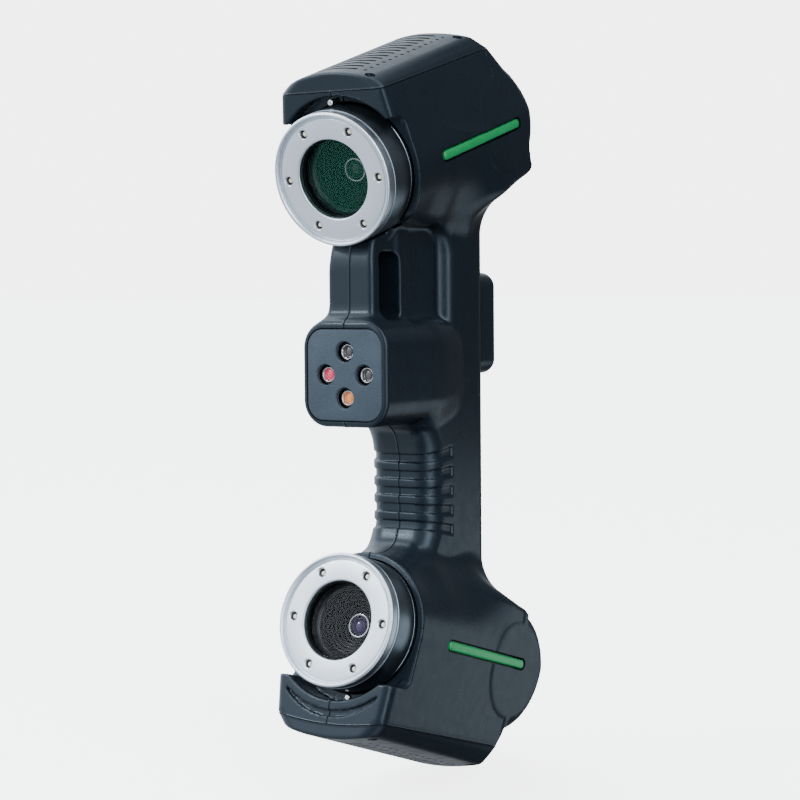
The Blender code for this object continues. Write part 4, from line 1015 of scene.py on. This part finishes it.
def build_lasers():
    """Textured front plate with four bores, a bright tube and a lens in each."""
    half_x, half_z, _ = face_of("laser_front_plate")
    levels = [(0.0, -2.0), (0.0, -0.5), (0.1, -0.25), (0.3, -0.08), (0.6, 0.0)]
    plate = stacked("plate", rounded_rectangle(half_x, half_z, 7.1, 12), levels, plate_place())
    turn = axes_frame((1, 0, 0), (0, 0, -1), (0, 1, 0))
    for name, (x, z, look) in LASERS.items():
        spot = plate_place() @ shift(x * LASER_CIRCLE, z * LASER_CIRCLE, 0) @ turn
        bore = [(0, -3), (4.45, -3), (4.45, -0.02), (4.05, 0.38), (4.05, 5), (0, 5)]
        plate = combine(plate, lathe("bore", bore, spot, 0, 48))
        sleeve = [(3.15, 2.7), (4.0, 2.7), (4.0, 9.0), (3.15, 9.0)]
        turned("laser_sleeve_" + name, sleeve, spot, BLACK_METAL, (), 0.12, 48)
        tube = [(2.15, 3.6), (2.55, 2.5), (2.8, 2.35), (3.05, 2.6), (3.05, 28.0), (1.9, 28.0), (1.9, 3.9)]
        turned("laser_tube_" + name, tube, spot, STEEL, ("laser_module_" + name,), 0.12, 48)
        lens = [(0, 3.0)] + [(2.1 * math.sin(a), 3.0 + 0.7 * (1 - math.cos(a)))
                             for a in (0.3, 0.6, 0.9, 1.2, 1.5)] + [(1.85, 6.0), (0, 6.0)]
        turned("laser_lens_" + name, lens, spot, look, (), 0, 32)
    finish(plate, "laser_plate", PLATE, ("laser_front_plate",))


# ---------------------------------------------------------------- keypad and socket
BUTTONS = {"scan_button": (6.4, "scan_key"), "plus_button": (3.9, "plus_key"),
           "minus_button": (3.9, "minus_key")}


def back_frame(height, depth):
    """A frame on the back of the grip: local X to the right seen from behind, Y up, Z out."""
    turn = axes_frame((-1, 0, 0), (0, 0, 1), (0, 1, 0))
    return Matrix.Translation((0, depth, height)) @ turn


def build_keypad():
    """Crowned bezel with three dished buttons and plain raised symbols on them."""
    low, high = box_mm("keypad_bezel")
    half_x, half_z, middle = face_of("keypad_bezel")
    back, depth = high.y, high.y - low.y
    levels = [(0.0, -depth), (0.0, -3.4), (0.15, -2.4), (0.6, -1.3), (1.4, -0.45), (2.4, -0.08), (3.4, 0.0)]
    bezel = stacked("bezel", rounded_rectangle(half_x, half_z, 6.0, 10), levels, back_frame(middle, back))
    inner = stacked("inner", rounded_rectangle(half_x - 2, half_z - 2, 4.2), [(0, -depth - 1), (0, -2.2)],
                    back_frame(middle, back))
    bezel = combine(bezel, inner)
    for node, (radius, body) in BUTTONS.items():
        near, far = box_mm(node)
        height = (near.z + far.z) / 2
        turn = axes_frame((1, 0, 0), (0, 0, -1), (0, 1, 0))
        place = back_frame(height, back) @ turn
        hole = [(0, 8), (radius + 0.3, 8), (radius + 0.3, 0.4), (radius + 0.7, -0.02),
                (radius + 0.7, -4), (0, -4)]
        bezel = combine(bezel, lathe("hole", hole, place, 0, 64))
        top = far.y - back
        cap = [(0, -top + 0.25), (radius * 0.5, -top + 0.15), (radius - 0.9, -top),
               (radius - 0.25, -top + 0.2), (radius, -top + 0.6), (radius, 1.9), (radius + 1.0, 2.0),
               (radius + 1.0, 3.2), (0, 3.2)]
        key = lathe("key", cap, place, 0.12, 64)
        finish(key, node + "_cap", KEYS, (node,), body)
        bars = [(1.5, 0.28)] if node != "plus_button" else [(1.5, 0.28), (0.28, 1.5)]
        if node == "scan_button":
            hoop = [(2.2, -top - 0.02), (2.6, -top - 0.02), (2.6, -top + 0.4), (2.2, -top + 0.4)]
            mark = lathe("mark", hoop, place, 0.05, 48)
        else:
            mark = merge("mark", [stacked("bar", rounded_rectangle(x, y, 0.25, 3),
                                          [(0, top - 0.4), (0, top - 0.06), (0.08, top)],
                                          back_frame(height, back)) for x, y in bars])
        finish(mark, node + "_mark", MARK_PAINT, (), body)
    finish(bezel, "keypad_surround", HOUSING, ("keypad_bezel",))


def build_socket():
    """Round cable inlet with a bevelled flange, a round bore and five contact pins."""
    place = socket_place()
    profile = [(8.2, 0.0), (8.6, -0.4), (8.6, -1.5), (6.6, -1.5), (6.6, -14.0), (0, -14.0), (0, -11.0),
               (5.0, -11.0), (5.0, -0.4), (5.4, 0.0)]
    turned("socket_flange", profile, place, STEEL, ("cable_socket",))
    core = [(0, -11.0), (4.9, -11.0), (4.9, -6.2), (4.6, -6.0), (0, -6.0)]
    turned("socket_core", core, place, RUBBER)
    pin = [(0, -2.6), (0.35, -2.8), (0.5, -3.2), (0.5, -7.0), (0, -7.0)]
    pins = [lathe("pin", pin, place @ spot, 0.05, 16) for spot in around(5, 2.7)]
    finish(merge("pins", pins), "socket_pins", BARE)


# ---------------------------------------------------------------- CAD nodes that keep their shape
KEPT = {"laser_mount": BARE, "keypad_mat": RUBBER, "keypad_board": BOARD, "optical_frame": BARE,
        "main_board": BOARD}
for camera_head in HEADS:
    KEPT[camera_head.name + "_camera_body"] = BARE
    KEPT[camera_head.name + "_heat_sink"] = BARE
    for world_side in ("left", "right"):
        KEPT[camera_head.name + "_" + world_side + "_light_board"] = BOARD


def dress_kept_nodes():
    """Give the inner CAD nodes their procedural materials."""
    for node, look in KEPT.items():
        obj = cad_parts[node]
        obj.data.materials.clear()
        obj.data.materials.append(look)


# ---------------------------------------------------------------- camera, light and floor
CAMERA_ANGLES = (32.65, 2.97, -0.43)    # azimuth, elevation and roll, degrees
CAMERA_DISTANCE = 850.0
CAMERA_OFFSET = (5.55, 2.35)            # how far the view sits to the left and below, millimetres
CAMERA_LENS = 93.52
BACKDROP_STRENGTH = 5.0
FLOOR_STRENGTH = 3.75
PALE = (0.97, 0.98, 1.0, 1.0)


def look_from():
    """The camera, at the angle from which the scanner is seen."""
    azimuth, elevation, roll = (math.radians(angle) for angle in CAMERA_ANGLES)
    back = Vector((math.sin(azimuth) * math.cos(elevation), -math.cos(azimuth) * math.cos(elevation),
                   math.sin(elevation)))
    right = Vector((math.cos(azimuth), math.sin(azimuth), 0))
    up = back.cross(right)
    right, up = (math.cos(roll) * right + math.sin(roll) * up, math.cos(roll) * up - math.sin(roll) * right)
    spot = Vector((0, -11.0, GRIP_MIDDLE)) + back * CAMERA_DISTANCE
    spot -= CAMERA_OFFSET[0] * right + CAMERA_OFFSET[1] * up
    data = bpy.data.cameras.new("camera")
    data.sensor_width = 36.0
    data.lens = CAMERA_LENS
    camera = bpy.data.objects.new("camera", data)
    bpy.context.scene.collection.objects.link(camera)
    matrix = axes_frame(right, up, back)
    matrix.translation = spot * MM
    camera.matrix_world = matrix
    bpy.context.scene.camera = camera


def area_light(name, spot, target, size, power, color=(1, 1, 1)):
    """A soft rectangular light."""
    data = bpy.data.lights.new(name, "AREA")
    data.shape = "RECTANGLE"
    data.size, data.size_y = size
    data.energy = power
    data.color = color
    light = bpy.data.objects.new(name, data)
    bpy.context.scene.collection.objects.link(light)
    light.location = spot
    light.visible_camera = False
    light.rotation_euler = (Vector(target) - Vector(spot)).to_track_quat("-Z", "Y").to_euler()


def studio_ramp(nodes, stops):
    """A smooth ramp of grey levels, for the brightness of the studio round the scanner."""
    ramp = nodes.new("ShaderNodeValToRGB")
    ramp.color_ramp.interpolation = "EASE"
    points = ramp.color_ramp.elements
    for i, (place, level) in enumerate(stops):
        point = points[i] if i < 2 else points.new(place)
        point.position = place
        point.color = (level, level, level, 1)
    return ramp


def studio_math(nodes, links, operation, first, second):
    """One arithmetic node on two values or sockets."""
    node = nodes.new("ShaderNodeMath")
    node.operation = operation
    for i, value in enumerate((first, second)):
        if isinstance(value, (int, float)):
            node.inputs[i].default_value = value
        else:
            links.new(value, node.inputs[i])
    return node.outputs[0]


# Brightness round the horizon, as a share of a full turn: 0 is behind the scanner, 0.5 is its front,
# and the shares below 0.5 are on its right side.
HORIZON = ((0.0, 0.03), (0.12, 0.30), (0.24, 0.62), (0.31, 0.34), (0.36, 0.40), (0.46, 0.36),
           (0.52, 0.10), (0.61, 0.10), (0.645, 0.95), (0.69, 0.95), (0.725, 0.10), (0.80, 0.04),
           (0.90, 0.022), (1.0, 0.03))
HORIZON_BRIGHTEST = 7.5
ELEVATION = ((0.0, 0.25), (0.26, 0.40), (0.5, 0.55), (0.70, 1.0), (0.85, 0.9), (1.0, 0.8))


def build_world():
    """Soft studio surroundings: bright strips at the sides, and a pale backdrop for the camera."""
    world = bpy.data.worlds.new("studio")
    world.use_nodes = True
    nodes, links = world.node_tree.nodes, world.node_tree.links
    place = nodes.new("ShaderNodeTexCoord")
    parts = nodes.new("ShaderNodeSeparateXYZ")
    links.new(place.outputs["Generated"], parts.inputs[0])
    turn = studio_math(nodes, links, "ARCTAN2", parts.outputs["X"],
                       studio_math(nodes, links, "MULTIPLY", parts.outputs["Y"], -1.0))
    share = studio_math(nodes, links, "ADD", studio_math(nodes, links, "MULTIPLY", turn, 0.5 / math.pi), 0.5)
    horizon = studio_ramp(nodes, HORIZON)
    links.new(share, horizon.inputs[0])
    height = studio_math(nodes, links, "MULTIPLY", parts.outputs["Z"], 0.5)
    elevation = studio_ramp(nodes, ELEVATION)
    links.new(studio_math(nodes, links, "ADD", height, 0.5), elevation.inputs[0])
    strength = studio_math(nodes, links, "MULTIPLY", horizon.outputs["Color"], elevation.outputs["Color"])
    around_us = nodes["Background"]
    around_us.inputs["Color"].default_value = (0.85, 0.93, 1.0, 1)
    links.new(studio_math(nodes, links, "MULTIPLY", strength, HORIZON_BRIGHTEST),
              around_us.inputs["Strength"])
    backdrop = nodes.new("ShaderNodeBackground")
    backdrop.inputs["Color"].default_value = PALE
    backdrop.inputs["Strength"].default_value = BACKDROP_STRENGTH
    path = nodes.new("ShaderNodeLightPath")
    choice = nodes.new("ShaderNodeMixShader")
    links.new(path.outputs["Is Camera Ray"], choice.inputs["Fac"])
    links.new(around_us.outputs["Background"], choice.inputs[1])
    links.new(backdrop.outputs["Background"], choice.inputs[2])
    links.new(choice.outputs["Shader"], nodes["World Output"].inputs["Surface"])
    bpy.context.scene.world = world


def build_studio():
    """Pale floor that doesn't light the scanner, a soft light from above and two small ones."""
    work = bmesh.new()
    bmesh.ops.create_grid(work, x_segments=2, y_segments=2, size=60.0)
    mesh = bpy.data.meshes.new("floor")
    work.to_mesh(mesh)
    work.free()
    floor = bpy.data.objects.new("floor", mesh)
    bpy.context.scene.collection.objects.link(floor)
    floor.location.z = CAD_BOX[0][2] - 0.004
    look = surface("floor_paint", (0.90, 0.90, 0.90), 0.65, grain=(40.0, 0.0), mottle=0.01,
                   Emission_Color=PALE, Emission_Strength=FLOOR_STRENGTH)
    mesh.materials.append(look)
    floor.visible_diffuse = floor.visible_glossy = floor.visible_transmission = False
    middle = (0.0, 0.0, 0.04)
    area_light("overhead", (-0.25, -0.15, 1.5), middle, (1.0, 1.0), 9.0, (0.9, 0.95, 1.0))
    area_light("sparkle", (-0.75, -1.05, 0.80), middle, (0.16, 0.16), 7.0, (0.95, 0.97, 1.0))
    area_light("low_rear", (0.24, 0.34, -0.16), (0.0, 0.0, -0.05), (0.26, 0.26), 0.24, (0.8, 0.92, 1.0))


build_housing()
for camera_head in HEADS:
    build_ring(camera_head)
    build_leds(camera_head)
    build_barrel(camera_head)
    build_window(camera_head)
    build_camera(camera_head)
    build_light_bars(camera_head)
build_screws()
build_lasers()
build_keypad()
build_socket()
dress_kept_nodes()
look_from()
build_world()
build_studio()

bpy.context.view_layer.update()
